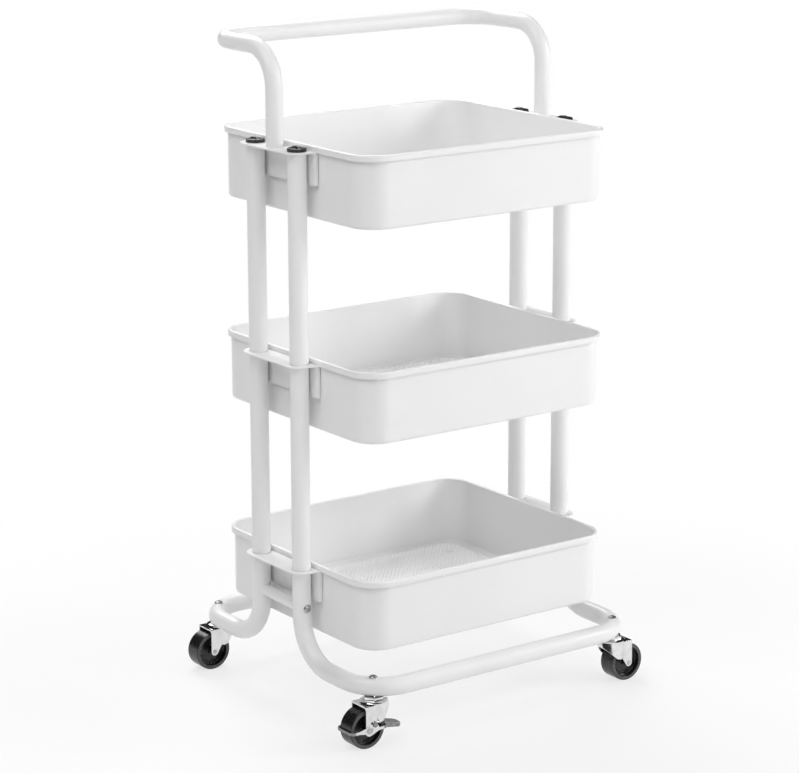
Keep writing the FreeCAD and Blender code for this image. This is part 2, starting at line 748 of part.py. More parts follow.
def make_stem(side, end):
    """The fixed half of a swivel: a kingpin, a domed race cover, a hexagon collar and a stem."""
    label = f"caster_stem_{end}_{side}"
    body = new_body(label)
    retainer = "(sheet.retainer_diameter / 2)"
    pin = "(sheet.kingpin_diameter / 2)"
    stem = "(sheet.stem_diameter / 2)"
    ring = "(sheet.ball_ring_diameter / 2)"
    groove = "(sheet.ball_diameter / 2 + sheet.race_gap)"
    under = f"({YOKE_UNDER} - sheet.race_gap)"
    race = f"({YOKE_TOP} + sheet.race_gap)"
    groove_top = f"({YOKE_TOP} + sheet.ball_diameter + sheet.race_gap)"
    tube_bore = f"({POLE_RADIUS} - sheet.tube_wall)"
    stem_top = f"({RAIL_HEIGHT} + sqrt({tube_bore} * {tube_bore} - {stem} * {stem}) - sheet.race_gap)"
    dome = "(sheet.dome_diameter / 2)"
    shoulder = "(sheet.collar_flats / 2)"
    profile = new_sketch(body, "XZ_Plane")
    outline(profile, [
        ("0", f"{under} - sheet.retainer_thickness"), (retainer, f"{under} - sheet.retainer_thickness"),
        (retainer, under), (pin, under), (pin, race), (f"{ring} - {groove}", race),
        (f"{ring} - {groove}", groove_top), (f"{ring} + {groove}", groove_top),
        (f"{ring} + {groove}", race), (dome, race), (dome, f"{race} + sheet.dome_edge"),
        (shoulder, DOME_TOP), (stem, DOME_TOP), (stem, stem_top), ("0", stem_top),
    ], {10: (f"{dome} / 2", 1)})
    revolve(body, profile)
    collar = new_sketch(body, "XY_Plane", DOME_TOP)
    outline(collar, [
        (f"{shoulder} / cos(30) * cos({60 * corner})", f"{shoulder} / cos(30) * sin({60 * corner})")
        for corner in range(6)
    ])
    pad(body, collar, "sheet.collar_height")
    thread = new_sketch(body, "XY_Plane", stem_top)
    circle(thread, "sheet.screw_diameter / 2 + sheet.fit_clearance")
    pocket(body, thread, "sheet.caster_screw_length + sheet.thread_runout")
    place_caster(body, label, side, end)


def make_bearing_balls():
    balls = []
    for index in range(BALLS_IN_RACE):
        angle = 360 * index / BALLS_IN_RACE
        ball = doc.addObject("Part::Sphere", "bearing_ball")
        bind(ball, Radius="sheet.ball_diameter / 2")
        place(ball, f"{CASTER_X} + sheet.ball_ring_diameter / 2 * cos({angle})",
              f"{CASTER_Y} + sheet.ball_ring_diameter / 2 * sin({angle})",
              f"{YOKE_TOP} + sheet.ball_diameter / 2 + sheet.fit_clearance")
        balls.append(ball)
    at_four_corners("bearing_balls", balls)


def make_yoke(side, end, braked):
    """A pressed yoke: a plate with a pointed nose, two raised legs and a skirt that rises to the nose."""
    label = f"caster_yoke_{end}_{side}"
    body = new_body(label)
    metal = "sheet.yoke_sheet"
    axle_x = "sheet.caster_trail"
    trailing = f"({axle_x} + sheet.yoke_leg_end)"
    leading = f"({trailing} - sheet.yoke_leg_width)"
    low = f"({WHEEL_RADIUS} - sheet.yoke_leg_end)"
    run = f"({leading} + sheet.yoke_nose)"
    skirt_outer = f"({YOKE_OUTER} - sheet.yoke_step)"
    bow = f"(({run} * {run} + {skirt_outer} * {skirt_outer}) / (2 * {skirt_outer}))"
    plan = new_sketch(body, "XY_Plane", low)
    outline(plan, [
        ("-sheet.yoke_nose", "0"), (leading, f"-{skirt_outer}"), (leading, f"-{YOKE_OUTER}"),
        (trailing, f"-{YOKE_OUTER}"), (trailing, YOKE_OUTER), (leading, YOKE_OUTER),
        (leading, skirt_outer),
    ], {0: (bow, 1), 6: (bow, 1)})
    pad(body, plan, f"{YOKE_TOP} - {low}")
    inner_nose = f"(sheet.yoke_nose - sheet.yoke_nose_metal)"
    inner_run = f"({leading} + {inner_nose})"
    inner_bow = f"(({inner_run} * {inner_run} + {YOKE_INNER} * {YOKE_INNER}) / (2 * {YOKE_INNER}))"
    space = new_sketch(body, "XY_Plane", low)
    past = f"({trailing} + {metal})"
    outline(space, [
        (f"-{inner_nose}", "0"), (leading, f"-{YOKE_INNER}"), (past, f"-{YOKE_INNER}"),
        (past, YOKE_INNER), (leading, YOKE_INNER),
    ], {0: (inner_bow, 1), 4: (inner_bow, 1)})
    pocket(body, space, f"{YOKE_UNDER} - {low}", upward=True)
    waste = new_sketch(body, "XZ_Plane")
    skirt = f"({YOKE_TOP} - sheet.yoke_skirt_drop)"
    nose_low = f"({YOKE_TOP} - sheet.yoke_nose_drop)"
    far = "(2 * sheet.wheel_diameter)"
    outline(waste, [
        (f"-{far}", nose_low), (f"-{far}", f"-{far}"), (far, f"-{far}"), (far, WHEEL_RADIUS),
        (trailing, WHEEL_RADIUS),
        (f"{axle_x} - sheet.yoke_leg_end * cos(sheet.yoke_leg_lean)",
         f"{WHEEL_RADIUS} - sheet.yoke_leg_end * sin(sheet.yoke_leg_lean)"),
        (leading, skirt), (f"{leading} - sheet.yoke_skirt_run", f"{skirt} + sheet.yoke_skirt_rise"),
        ("-sheet.yoke_nose", nose_low),
    ], {4: ("sheet.yoke_leg_end", -1)})
    pocket(body, waste, "4 * sheet.wheel_width", both_ways=True)
    bearing = new_sketch(body, "XY_Plane", YOKE_TOP)
    circle(bearing, "sheet.kingpin_diameter / 2 + sheet.running_fit")
    pocket(body, bearing, f"2 * {metal}")
    cross_holes = new_sketch(body, "XZ_Plane")
    circle(cross_holes, "sheet.axle_diameter / 2 + sheet.fit_clearance", axle_x, WHEEL_RADIUS)
    if braked:
        circle(cross_holes, "sheet.lever_pin_diameter / 2 + sheet.fit_clearance", PIVOT_X, PIVOT_Z)
    pocket(body, cross_holes, "4 * sheet.wheel_width", both_ways=True)
    place_caster(body, label, side, end)


def place_wheel_piece(body, label, side, end):
    """Sets a piece that is turned about the wheel's axis."""
    x = f"{SIDES[side]} * ({CASTER_X} + sheet.caster_trail)"
    place(body, x, f"{ENDS[end]} * {CASTER_Y}", WHEEL_RADIUS, LIE_ALONG_Y)
    publish(body, label)


def make_axle(side, end, braked):
    """A riveted axle, whose heads bear on the yoke's legs or stand clear of the brake lever's plates."""
    body = new_body(f"axle_{end}_{side}")
    radius = "(sheet.axle_diameter / 2)"
    seat = LEVER_SEAT if braked else YOKE_OUTER
    head = "(sheet.lever_cap_diameter / 2)" if braked else "(sheet.axle_head_diameter / 2)"
    tip = f"({seat} + sheet.axle_head_height)"
    profile = new_sketch(body, "XZ_Plane")
    outline(profile, [
        ("0", f"-{tip}"), (f"{head} / 2", f"-{tip}"), (head, f"-{seat}"),
        (radius, f"-{seat}"), (radius, seat), (head, seat),
        (f"{head} / 2", tip), ("0", tip),
    ])
    revolve(body, profile)
    place_wheel_piece(body, f"axle_{end}_{side}", side, end)


def make_wheel(side, end):
    """A moulded wheel: a tread with rounded shoulders, a thinner web and a hub."""
    body = new_body(f"wheel_{end}_{side}")
    bore = "(sheet.axle_diameter / 2 + sheet.running_fit)"
    hub = "(sheet.hub_diameter / 2)"
    hub_end = f"({YOKE_INNER} - sheet.race_gap)"
    web = "(sheet.wheel_web / 2)"
    rim = f"({WHEEL_RADIUS} - sheet.wheel_rim)"
    face = "(sheet.wheel_width / 2)"
    shoulder = f"({WHEEL_RADIUS} - sheet.wheel_rounding)"
    tread = f"({face} - sheet.wheel_rounding)"
    profile = new_sketch(body, "XZ_Plane")
    outline(profile, [
        (bore, f"-{hub_end}"), (hub, f"-{hub_end}"), (hub, f"-{web}"), (rim, f"-{web}"),
        (rim, f"-{face}"), (shoulder, f"-{face}"), (WHEEL_RADIUS, f"-{tread}"), (WHEEL_RADIUS, tread),
        (shoulder, face), (rim, face), (rim, web), (hub, web), (hub, hub_end), (bore, hub_end),
    ], {5: ("sheet.wheel_rounding", 1), 7: ("sheet.wheel_rounding", 1)})
    revolve(body, profile)
    place_wheel_piece(body, f"wheel_{end}_{side}", side, end)


def make_brake_lever(side, end):
    """A lever: a hoop round the wheel with two side plates, a shoe in front of the tread and a toe tab."""
    label = f"brake_lever_{end}_{side}"
    body = new_body(label)
    metal = "sheet.lever_sheet"
    axle_x = "sheet.caster_trail"
    shoe_inner = f"({WHEEL_RADIUS} + sheet.shoe_gap)"
    shoe_outer = f"({shoe_inner} + {metal})"
    half_height = "(sheet.shoe_height / 2)"
    eye = "sheet.lever_eye"
    boss = "sheet.lever_boss"
    inner_x = f"({axle_x} - sqrt({shoe_inner} * {shoe_inner} - {half_height} * {half_height}))"
    outer_x = f"({axle_x} - sqrt({shoe_outer} * {shoe_outer} - {half_height} * {half_height}))"
    top = f"({WHEEL_RADIUS} + {half_height})"
    bottom = f"({WHEEL_RADIUS} - {half_height})"
    strap = new_sketch(body, "XZ_Plane")
    outline(strap, [(inner_x, top), (outer_x, top), (outer_x, bottom), (inner_x, bottom)],
            {1: (shoe_outer, 1), 3: (shoe_inner, -1)})
    pad(body, strap, "sheet.toe_width", both_ways=True)
    hoop_low = f"({WHEEL_RADIUS} - sheet.hoop_height / 2)"
    hoop_top = f"({WHEEL_RADIUS} + sheet.hoop_height / 2)"
    bend = "sheet.hoop_corner"
    hoop = new_sketch(body, "XY_Plane", hoop_low)
    rounded_rectangle(hoop, shoe_outer, LEVER_OUTER, bend, axle_x)
    rounded_rectangle(hoop, shoe_inner, LEVER_INNER, f"({bend} - {metal})", axle_x)
    pad(body, hoop, "sheet.hoop_height")
    front_x = f"({axle_x} - sheet.lever_front)"
    tail_x = f"({axle_x} + sheet.lever_tail)"
    for height in (LEVER_INNER, f"-{LEVER_OUTER}"):
        plate = new_sketch(body, "XZ_Plane", height)
        outline(plate, [
            (front_x, hoop_top), (front_x, hoop_low), (axle_x, f"{WHEEL_RADIUS} - {boss}"),
            (f"{axle_x} + {boss} * cos(30)", f"{WHEEL_RADIUS} - {boss} / 2"), (tail_x, hoop_low),
            (tail_x, hoop_top), (f"{PIVOT_X} + {eye}", PIVOT_Z), (PIVOT_X, f"{PIVOT_Z} + {eye}"),
            (f"{PIVOT_X} - {eye}", PIVOT_Z),
        ], {2: (boss, 1), 6: (eye, 1), 7: (eye, 1)})
        pad(body, plate, metal)
    toe = new_sketch(body, "XZ_Plane")
    root = f"({axle_x} - {shoe_outer} + {metal} / 2)"
    toe_end = f"({root} - sheet.toe_length)"
    root_z = f"({WHEEL_RADIUS} + sheet.toe_rise)"
    tip_z = f"({root_z} - sheet.toe_fall)"
    outline(toe, [
        (root, root_z), (toe_end, tip_z), (toe_end, f"{tip_z} - sheet.toe_thickness"),
        (root, f"{root_z} - sheet.toe_thickness"),
    ])
    pad(body, toe, "sheet.toe_width", both_ways=True)
    half = "(sheet.toe_width / 2)"
    rounding = "sheet.toe_rounding"
    past = f"({toe_end} - {metal})"
    tip_corners = new_sketch(body, "XY_Plane")
    outline(tip_corners, [
        (past, f"{half} - {rounding}"), (toe_end, f"{half} - {rounding}"), (f"{toe_end} + {rounding}", half),
        (f"{toe_end} + {rounding}", f"{half} + {metal}"), (past, f"{half} + {metal}"),
    ], {1: (rounding, -1)})
    outline(tip_corners, [
        (past, f"-{half} - {metal}"), (f"{toe_end} + {rounding}", f"-{half} - {metal}"),
        (f"{toe_end} + {rounding}", f"-{half}"), (toe_end, f"{rounding} - {half}"),
        (past, f"{rounding} - {half}"),
    ], {2: (rounding, -1)})
    pocket(body, tip_corners, "2 * sheet.wheel_diameter", both_ways=True)
    cross_holes = new_sketch(body, "XZ_Plane")
    circle(cross_holes, "sheet.lever_pin_diameter / 2 + sheet.running_fit", PIVOT_X, PIVOT_Z)
    circle(cross_holes, "sheet.axle_diameter / 2 + sheet.lever_slack",
           f"{axle_x} - sheet.lever_slack_shift", f"{WHEEL_RADIUS} - sheet.lever_slack_shift")
    pocket(body, cross_holes, "4 * sheet.wheel_width", both_ways=True)
    place_caster(body, label, side, end)


def make_brake_pins(side, end):
    """Two short pins, fixed in the yoke's legs, that the lever's side plates turn on."""
    label = f"brake_pins_{end}_{side}"
    direction = SIDES[side]
    x = f"{direction} * ({CASTER_X} + {PIVOT_X})"
    pins = []
    for way in ENDS.values():
        start = f"{ENDS[end]} * {CASTER_Y} + {way} * {YOKE_INNER}"
        seat = f"{ENDS[end]} * {CASTER_Y} + {way} * {LEVER_SEAT}"
        turn = FreeCAD.Rotation(X_AXIS, -90 * way)
        shank = cylinder(f"{label}_shank", "sheet.lever_pin_diameter / 2", f"{LEVER_SEAT} - {YOKE_INNER}",
                         x, start, PIVOT_Z, turn)
        head = cylinder(f"{label}_head", "sheet.lever_pin_head / 2", "sheet.lever_sheet",
                        x, seat, PIVOT_Z, turn)
        pin = doc.addObject("Part::Fuse", f"{label}_pin")
        pin.Base = shank
        pin.Tool = head
        pins.append(pin)
    publish(group(label, pins), label)


make_handle()
for tier_name in PLATE_TOP:
    make_tray(tier_name)
    make_mesh_floor(tier_name)
    for side_name in SIDES:
        make_bracket(tier_name, side_name)
for end_name in ENDS:
    make_base_tube(end_name)
for side_name in SIDES:
    make_cross_bar(side_name)
    for end_name in ENDS:
        make_pole(f"upper_pole_{end_name}_{side_name}", side_name, end_name, PLATE_TOP["middle"])
        make_pole(f"lower_pole_{end_name}_{side_name}", side_name, end_name, PLATE_TOP["bottom"])
        make_knob(f"knob_{end_name}_{side_name}", side_name, end_name)
        has_brake = (side_name, end_name) in (("left", "front"), ("right", "rear"))
        make_stem(side_name, end_name)
        make_yoke(side_name, end_name, has_brake)
        make_axle(side_name, end_name, has_brake)
        make_wheel(side_name, end_name)
        if has_brake:
            make_brake_lever(side_name, end_name)
            make_brake_pins(side_name, end_name)
make_plugs()
make_studs()
make_knob_shanks()
make_screws()
make_bearing_balls()
doc.recompute()

for item in doc.Objects:
    if "Invalid" in item.State or "Error" in item.State:
        raise RuntimeError(f"{item.Label} did not build: {item.State}")
for node in nodes:
    if node.Shape.isNull() or not node.Shape.isValid() or not node.Shape.Solids:
        raise RuntimeError(f"{node.Label} has no valid shape")

os.makedirs("parts", exist_ok=True)
for node in nodes:
    Part.makeCompound(node.Shape.Solids).exportStep(f"parts/{node.Label}.step")
    print(f"{node.Label}: {len(node.Shape.Solids)} solids, {node.Shape.Volume / 1000:.2f} cm3")
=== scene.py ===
import json
import math

import bmesh
import bpy
from bpy.props import FloatProperty, FloatVectorProperty, IntProperty, PointerProperty
from mathutils import Matrix, Vector


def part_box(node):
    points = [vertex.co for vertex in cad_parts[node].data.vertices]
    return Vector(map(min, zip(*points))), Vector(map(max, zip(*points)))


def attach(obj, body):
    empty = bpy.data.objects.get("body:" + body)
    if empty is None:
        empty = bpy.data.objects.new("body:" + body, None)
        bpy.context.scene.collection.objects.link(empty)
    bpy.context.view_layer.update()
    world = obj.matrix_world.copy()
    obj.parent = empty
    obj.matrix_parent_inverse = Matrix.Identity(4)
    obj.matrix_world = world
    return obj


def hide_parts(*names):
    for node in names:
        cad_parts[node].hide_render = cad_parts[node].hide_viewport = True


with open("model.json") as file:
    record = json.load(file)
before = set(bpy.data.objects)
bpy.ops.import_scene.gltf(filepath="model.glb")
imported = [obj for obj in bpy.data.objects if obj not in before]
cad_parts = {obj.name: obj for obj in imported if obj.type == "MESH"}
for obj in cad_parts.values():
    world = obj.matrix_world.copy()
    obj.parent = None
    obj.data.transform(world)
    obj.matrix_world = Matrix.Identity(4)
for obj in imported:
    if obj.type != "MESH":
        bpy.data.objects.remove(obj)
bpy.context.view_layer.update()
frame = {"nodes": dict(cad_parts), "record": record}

bl_info = {
    "name": "Three-Tier Rolling Cart",
    "version": (1, 0, 0),
    "blender": (4, 5, 0),
    "location": "View3D > Sidebar > Cart",
    "description": "Dresses the packed solids of a rolling utility cart",
    "category": "Add Mesh",
}

TIERS = ("bottom", "middle", "top")
SIDES = ("left", "right")
ENDS = ("front", "rear")
CORNERS = tuple(f"{end}_{side}" for end in ENDS for side in SIDES)
BRAKED = ("front_left", "rear_right")
RIGHT_ANGLE = math.pi / 2

# Angles and distances that tell folds, flat faces and separate points apart

SHARP = math.radians(30)
FLAT = math.radians(0.6)
MERGE = 2e-6
CLOSE = 1e-5
TOUCH = 1e-4


# Settings


def length(name, description, default):
    return FloatProperty(name=name, description=description, default=default, min=0.0, precision=5,
                         unit="LENGTH")


def share(name, description, default):
    return FloatProperty(name=name, description=description, default=default, min=0.0, max=1.0,
                         subtype="FACTOR")


def colour(name, description, default):
    return FloatVectorProperty(name=name, description=description, default=default, min=0.0, max=1.0,
                               size=3, subtype="COLOR")


def strength(name, description, default):
    return FloatProperty(name=name, description=description, default=default, min=0.0)


def power(name, description, default):
    return FloatProperty(name=name, description=description, default=default, min=0.0, unit="POWER")


class CartFinishSettings(bpy.types.PropertyGroup):
    """Colours and gloss of the finishes."""

    paint: colour("Paint", "Sprayed paint on tubes, trays and brackets", (0.9, 0.9, 0.9))
    paint_gloss: share("Paint roughness", "Roughness of the sprayed paint", 0.40)
    knob: colour("Knob plastic", "Glossy moulded plastic of the thumb knobs", (0.012, 0.012, 0.013))
    wheel: colour("Wheel plastic", "Moulded plastic of the wheels", (0.009, 0.009, 0.0095))
    # The rim plastic is paler than the wheel as a painted reflection on the rim faces.
    rim: colour("Rim plastic", "Duller plastic on the faces of the wheel rims", (0.075, 0.075, 0.077))
    chrome: colour("Chrome", "Plating of the caster yokes and stems", (0.77, 0.76, 0.76))
    bright: colour("Bright steel", "Screws, axles, studs, shanks and balls", (0.52, 0.52, 0.53))
    # The brake steel's dark tone is partly painted shade: the toe brakes' tabs are darkened to stand in for
    # the shadow they lie in.
    brake: colour("Brake steel", "Pressed steel of the toe brakes and their pins", (0.28, 0.28, 0.285))
    plug: colour("Plug plastic", "Plastic plugs inside the tubes", (0.05, 0.05, 0.05))


class CartTraySettings(bpy.types.PropertyGroup):
    """Sizes of the pressed trays."""

    sheet: length("Sheet", "Thickness of the tray's metal", 0.0008)
    corner: length("Corner radius", "Radius of the rim's corners in plan", 0.040)
    overhang: length("Rim overhang", "How far the rim stands out from the wall", 0.0042)
    rim_drop: length("Rim drop", "Height of the rim's turned-down lip", 0.0080)
    rim_rounding: length("Rim rounding", "Radius of the rolled rim", 0.0019)
    bottom_rounding: length("Bottom rounding", "Radius between wall and floor", 0.0036)
    flange: length("Floor flange", "Width of the flange that carries the mesh", 0.0084)


class CartMeshSettings(bpy.types.PropertyGroup):
    """Sizes of the expanded mesh floors."""

    pitch_x: length("Pitch along", "Width of a diamond along the tray", 0.0066)
    pitch_y: length("Pitch across", "Height of a diamond across the tray", 0.0076)
    strand: length("Strand", "Width of a strand", 0.0014)
    sheet: length("Sheet", "Thickness of the mesh", 0.0009)
    border: length("Border", "Plain border round the mesh", 0.0085)
    border_sheet: length("Border sheet", "Thickness of the plain border", 0.001)
    corner_slack: length("Corner slack", "How far a diamond may reach past the rounded corner", 0.001)


class CartTubeSettings(bpy.types.PropertyGroup):
    """Bends of the tubes, measured at their middle line."""

    handle_bend: length("Handle bend", "Radius where an upright turns to the rear", 0.050)
    handle_corner: length("Handle corner", "Radius at the ends of the push bar", 0.047)
    leg_bend: length("Leg bend", "Radius where a leg turns into the base", 0.061)
    base_corner: length("Base corner", "Radius of the base's corners", 0.055)
    pole_chamfer: length("Pole chamfer", "Broken edge at the ends of a pole", 0.0006)


class CartBracketSettings(bpy.types.PropertyGroup):
    """Sizes of the folded end brackets."""

    sheet: length("Sheet", "Thickness of the bracket's metal", 0.0018)
    drop: length("Drop", "Height of the channel on the tray's wall", 0.042)
    tab: length("Tab", "Width of the tabs welded to the wall", 0.012)
    nose: length("Corner radius", "Radius of the plate round a pole", 0.020)
    fold: length("Fold radius", "Radius of the folds", 0.0016)
    gap: length("Gap", "Gap between the tray's rim and the bracket's channel", 0.0006)
    edge: length("Edge rounding", "Rounding of the sheet's cut edges", 0.00025)


class CartKnobSettings(bpy.types.PropertyGroup):
    """Sizes of the thumb knobs."""

    disc: length("Disc height", "Height of the knob's round disc", 0.0042)
    rounding: length("Disc rounding", "Rounding of the disc's upper edge", 0.0014)
    foot_edge: length("Foot edge", "Broken lower edge of the disc", 0.0004)
    dome: length("Dome", "Rise of the disc towards its middle", 0.0003)
    grip_width: length("Grip width", "Width of the raised grip", 0.0070)
    grip_length: length("Grip length", "Length of the raised grip at its foot", 0.0210)
    grip_slope: length("Grip slope", "How far each end of the grip slopes in", 0.0065)
    grip_top: share("Grip top", "Width of the grip's top as a share of its foot", 0.7)
    grip_rounding: length("Grip rounding", "Rounding of the grip's edges", 0.0014)
    edge: length("Edge rounding", "Rounding where the grip meets the disc", 0.0003)


class CartCasterSettings(bpy.types.PropertyGroup):
    """Sizes of the caster pieces."""

    tread: length("Tread width", "Width of the wheel across its faces", 0.0240)
    bore: length("Wheel bore", "Diameter of the wheel's bore", 0.0061)
    shoulder: length("Tread shoulder", "Rounding of the wheel's shoulders", 0.0010)
    rim: length("Wheel rim", "Height of the wheel's rim", 0.0052)
    web: length("Wheel web", "Thickness of the wheel's web", 0.0080)
    hub: length("Hub diameter", "Diameter of the wheel's hub", 0.0090)
    wheel_edge: length("Wheel edge", "Broken edges of the wheel's hub and rim", 0.0004)
    fillet: length("Web fillet", "Rounding between the wheel's hub and web", 0.0012)
    bead: length("Bead width", "Width of the raised ring beside the wheel's rim", 0.0046)
    bead_height: length("Bead height", "Height of the raised ring beside the wheel's rim", 0.0010)
    toe_tip: length("Toe tip", "How far from the stem the toe tab's rounded end begins", 0.0135)
    toe_round: length("Toe rounding", "Rounding of the upper and lower edge of the toe tab's end", 0.0022)
    flare: length("Skirt flare", "Spread of the yoke's skirt at its lower edge", 0.0030)
    flare_reach: length("Flare reach", "How far past the stem's middle the skirt is spread", 0.003)
    flare_depth: length("Flare depth", "Depth under the yoke's top from which the skirt is spread", 0.005)
    flare_side: length("Flare side", "Distance from the middle plane beyond which the skirt is spread", 0.002)
    # Past this reach from the swivel the brake gets the dark finish as painted shade; within it the brake is
    # chrome.
    unshaded_reach: length("Plated reach", "Distance from the swivel to which the brake is plated", 0.036)
    yoke_rounding: length("Yoke rounding", "Rounding of the pressed edges of the yoke", 0.0006)
    edge: length("Edge rounding", "Rounding of stems, axles, pins and levers", 0.0003)
    screw_edge: length("Screw edge", "Rounding of the edges of the screws", 0.0002)
    segments: IntProperty(name="Wheel segments", description="Faces round a wheel", default=72, min=24,
                          max=160)


class CartStageSettings(bpy.types.PropertyGroup):
    """Camera, floor and lamps."""

    azimuth: FloatProperty(name="Azimuth", description="Turn of the camera round the cart",
                           default=math.radians(-35.76), subtype="ANGLE")
    elevation: FloatProperty(name="Elevation", description="Height angle of the camera",
                             default=math.radians(14.053), subtype="ANGLE")
    roll: FloatProperty(name="Roll", description="Turn of the camera about its own axis", default=-0.0026,
                        subtype="ANGLE")
    camera: FloatVectorProperty(name="Camera", description="Place of the camera", size=3, unit="LENGTH",
                                default=(-2.0657, -2.8373, 1.2740))
    lens: FloatProperty(name="Lens", description="Focal length in millimetres", default=124.45, min=10.0)
    floor: colour("Floor", "Colour of the studio floor", (0.86, 0.86, 0.86))
    floor_size: length("Floor size", "Length of the studio floor's sides", 60.0)
    shade: share("Floor shade", "How much of the floor's white near the cart comes from the lamps", 0.3)
    shade_near: length("Shade reach", "Distance from the middle to which the floor is shaded in full", 0.45)
    shade_far: length("Shade end", "Distance from the middle beyond which the floor is plain white", 0.95)
    aim: length("Aim height", "Height of the point that the lamps face", 0.45)
    horizon: strength("Horizon", "Strength of the light from the horizon", 0.28)
    zenith: strength("Zenith", "Strength of the light from straight above", 0.0)
    gleam: strength("Gleam", "Strength of the surroundings that polished metal mirrors", 0.03)
    front: power("Front lamp", "Power of the large lamp in front", 29.0)
    right: power("Right lamp", "Power of the lamp in front at the right", 48.0)
    left: power("Left lamp", "Power of the high lamp at the left", 37.0)
    rear: power("Rear lamp", "Power of the lamp behind", 79.0)


# Modelling steps


def deselect_all():
    """Closes edit mode and leaves nothing selected."""
    if bpy.context.mode != "OBJECT":
        bpy.ops.object.mode_set(mode="OBJECT")
    bpy.ops.object.select_all(action="DESELECT")


def centre(node):
    """The middle of a solid's box."""
    return sum(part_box(node), Vector()) / 2


def reopen(blank):
    """Opens a piece for editing."""
    bpy.context.view_layer.objects.active = blank
    bpy.ops.object.mode_set(mode="EDIT")


def open_blank(name):
    """Names the primitive just added, settles its place in its mesh and opens it, all selected."""
    blank = bpy.context.object
    blank.name = blank.data.name = name
    bpy.ops.object.transform_apply(location=True, rotation=True, scale=True)
    bpy.ops.object.mode_set(mode="EDIT")
    bpy.ops.mesh.select_all(action="SELECT")
    return blank


def pick(kind, test):
    """Selects only those verts, edges or faces of the open mesh that pass the test."""
    bpy.ops.mesh.select_mode(type={"verts": "VERT", "edges": "EDGE", "faces": "FACE"}[kind])
    bpy.ops.mesh.select_all(action="DESELECT")
    blank = bpy.context.object
    mesh = bmesh.from_edit_mesh(blank.data)
    chosen = [element for element in getattr(mesh, kind) if test(element)]
    if not chosen:
        raise RuntimeError(f"{blank.name}: no {kind} found for the next step")
    for element in chosen:
        element.select_set(True)
    mesh.select_flush_mode()
    bmesh.update_edit_mesh(blank.data)


def halfway(edge):
    return (edge.verts[0].co + edge.verts[1].co) / 2


def near(first, second):
    return abs(first - second) < CLOSE


def draw_out(move):
    """Extrudes the selected edges."""
    bpy.ops.mesh.extrude_edges_move(TRANSFORM_OT_translate={"value": tuple(move)})


def face_outward():
    bpy.ops.mesh.select_all(action="SELECT")
    bpy.ops.mesh.normals_make_consistent(inside=False)


def close_ends():
    """Fills each open loop of the open mesh with a flat face."""
    bpy.ops.mesh.select_mode(type="EDGE")
    bpy.ops.mesh.select_all(action="SELECT")
    bpy.ops.mesh.fill_holes(sides=0)
    face_outward()


def apply_modifier(blank, kind, **values):
    if bpy.context.mode != "OBJECT":
        bpy.ops.object.mode_set(mode="OBJECT")
    modifier = blank.modifiers.new(kind.lower(), kind)
    for name, value in values.items():
        setattr(modifier, name, value)
    bpy.context.view_layer.objects.active = blank
    bpy.ops.object.modifier_apply(modifier=modifier.name)


def round_edges(blank, width, segments=2, angle=32):
    """Rounds every edge that turns by more than the angle, in degrees."""
    apply_modifier(blank, "BEVEL", width=width, segments=segments, limit_method="ANGLE",
                   angle_limit=math.radians(angle), use_clamp_overlap=True)


def smooth(blank, angle=38):
    """Shades the piece smooth, with wide flat faces kept flat."""
    deselect_all()
    blank.select_set(True)
    bpy.context.view_layer.objects.active = blank
    bpy.ops.object.shade_smooth_by_angle(angle=math.radians(angle))
    apply_modifier(blank, "WEIGHTED_NORMAL", keep_sharp=True, weight=60)


def turned(name, rings, segments=48, bored=False):
    """Turns a closed shape about the Z axis from rings of radius and height, each drawn from the last."""
    radius, height = rings[0]
    deselect_all()
    bpy.ops.mesh.primitive_circle_add(vertices=segments, radius=radius, location=(0, 0, height))
    blank = open_blank(name)
    for next_radius, next_height in rings[1:]:
        draw_out((0, 0, next_height - height))
        grow = next_radius / radius
        bpy.ops.transform.resize(value=(grow, grow, 1), center_override=(0, 0, next_height))
        radius, height = next_radius, next_height
    if bored:
        pick("edges", lambda edge: edge.is_boundary)
        bpy.ops.mesh.bridge_edge_loops()
        face_outward()
    else:
        close_ends()
    bpy.ops.object.mode_set(mode="OBJECT")
    return blank


def bent_tube(name, route, bends, radius, segments=48, steps=18):
    """Bends a round tube along square runs, with an arc at each inner corner, and closes its ends."""
    route = [Vector(point) for point in route]
    heading = (route[1] - route[0]).normalized()
    deselect_all()
    bpy.ops.mesh.primitive_circle_add(vertices=segments, radius=radius, location=route[0],
                                      rotation=heading.to_track_quat("Z", "Y").to_euler())
    blank = open_blank(name)
    reached = route[0]
    for corner, ahead, bend in zip(route[1:], route[2:], bends):
        onward = (ahead - corner).normalized()
        draw_out(corner - heading * bend - reached)
        bpy.ops.mesh.spin(steps=steps, angle=RIGHT_ANGLE, center=corner + (onward - heading) * bend,
                          axis=onward.cross(heading))
        reached = corner + onward * bend
        heading = onward
    draw_out(route[-1] - reached)
    bpy.ops.mesh.select_all(action="SELECT")
    bpy.ops.mesh.remove_doubles(threshold=MERGE)
    close_ends()
    bpy.ops.object.mode_set(mode="OBJECT")
    low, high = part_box(name)
    for axis in range(3):
        ends = [vertex.co[axis] for vertex in blank.data.vertices]
        if max(abs(min(ends) - low[axis]), abs(max(ends) - high[axis])) > 2 * TOUCH:
            raise RuntimeError(f"{name}: the bent tube leaves its solid")
    return blank


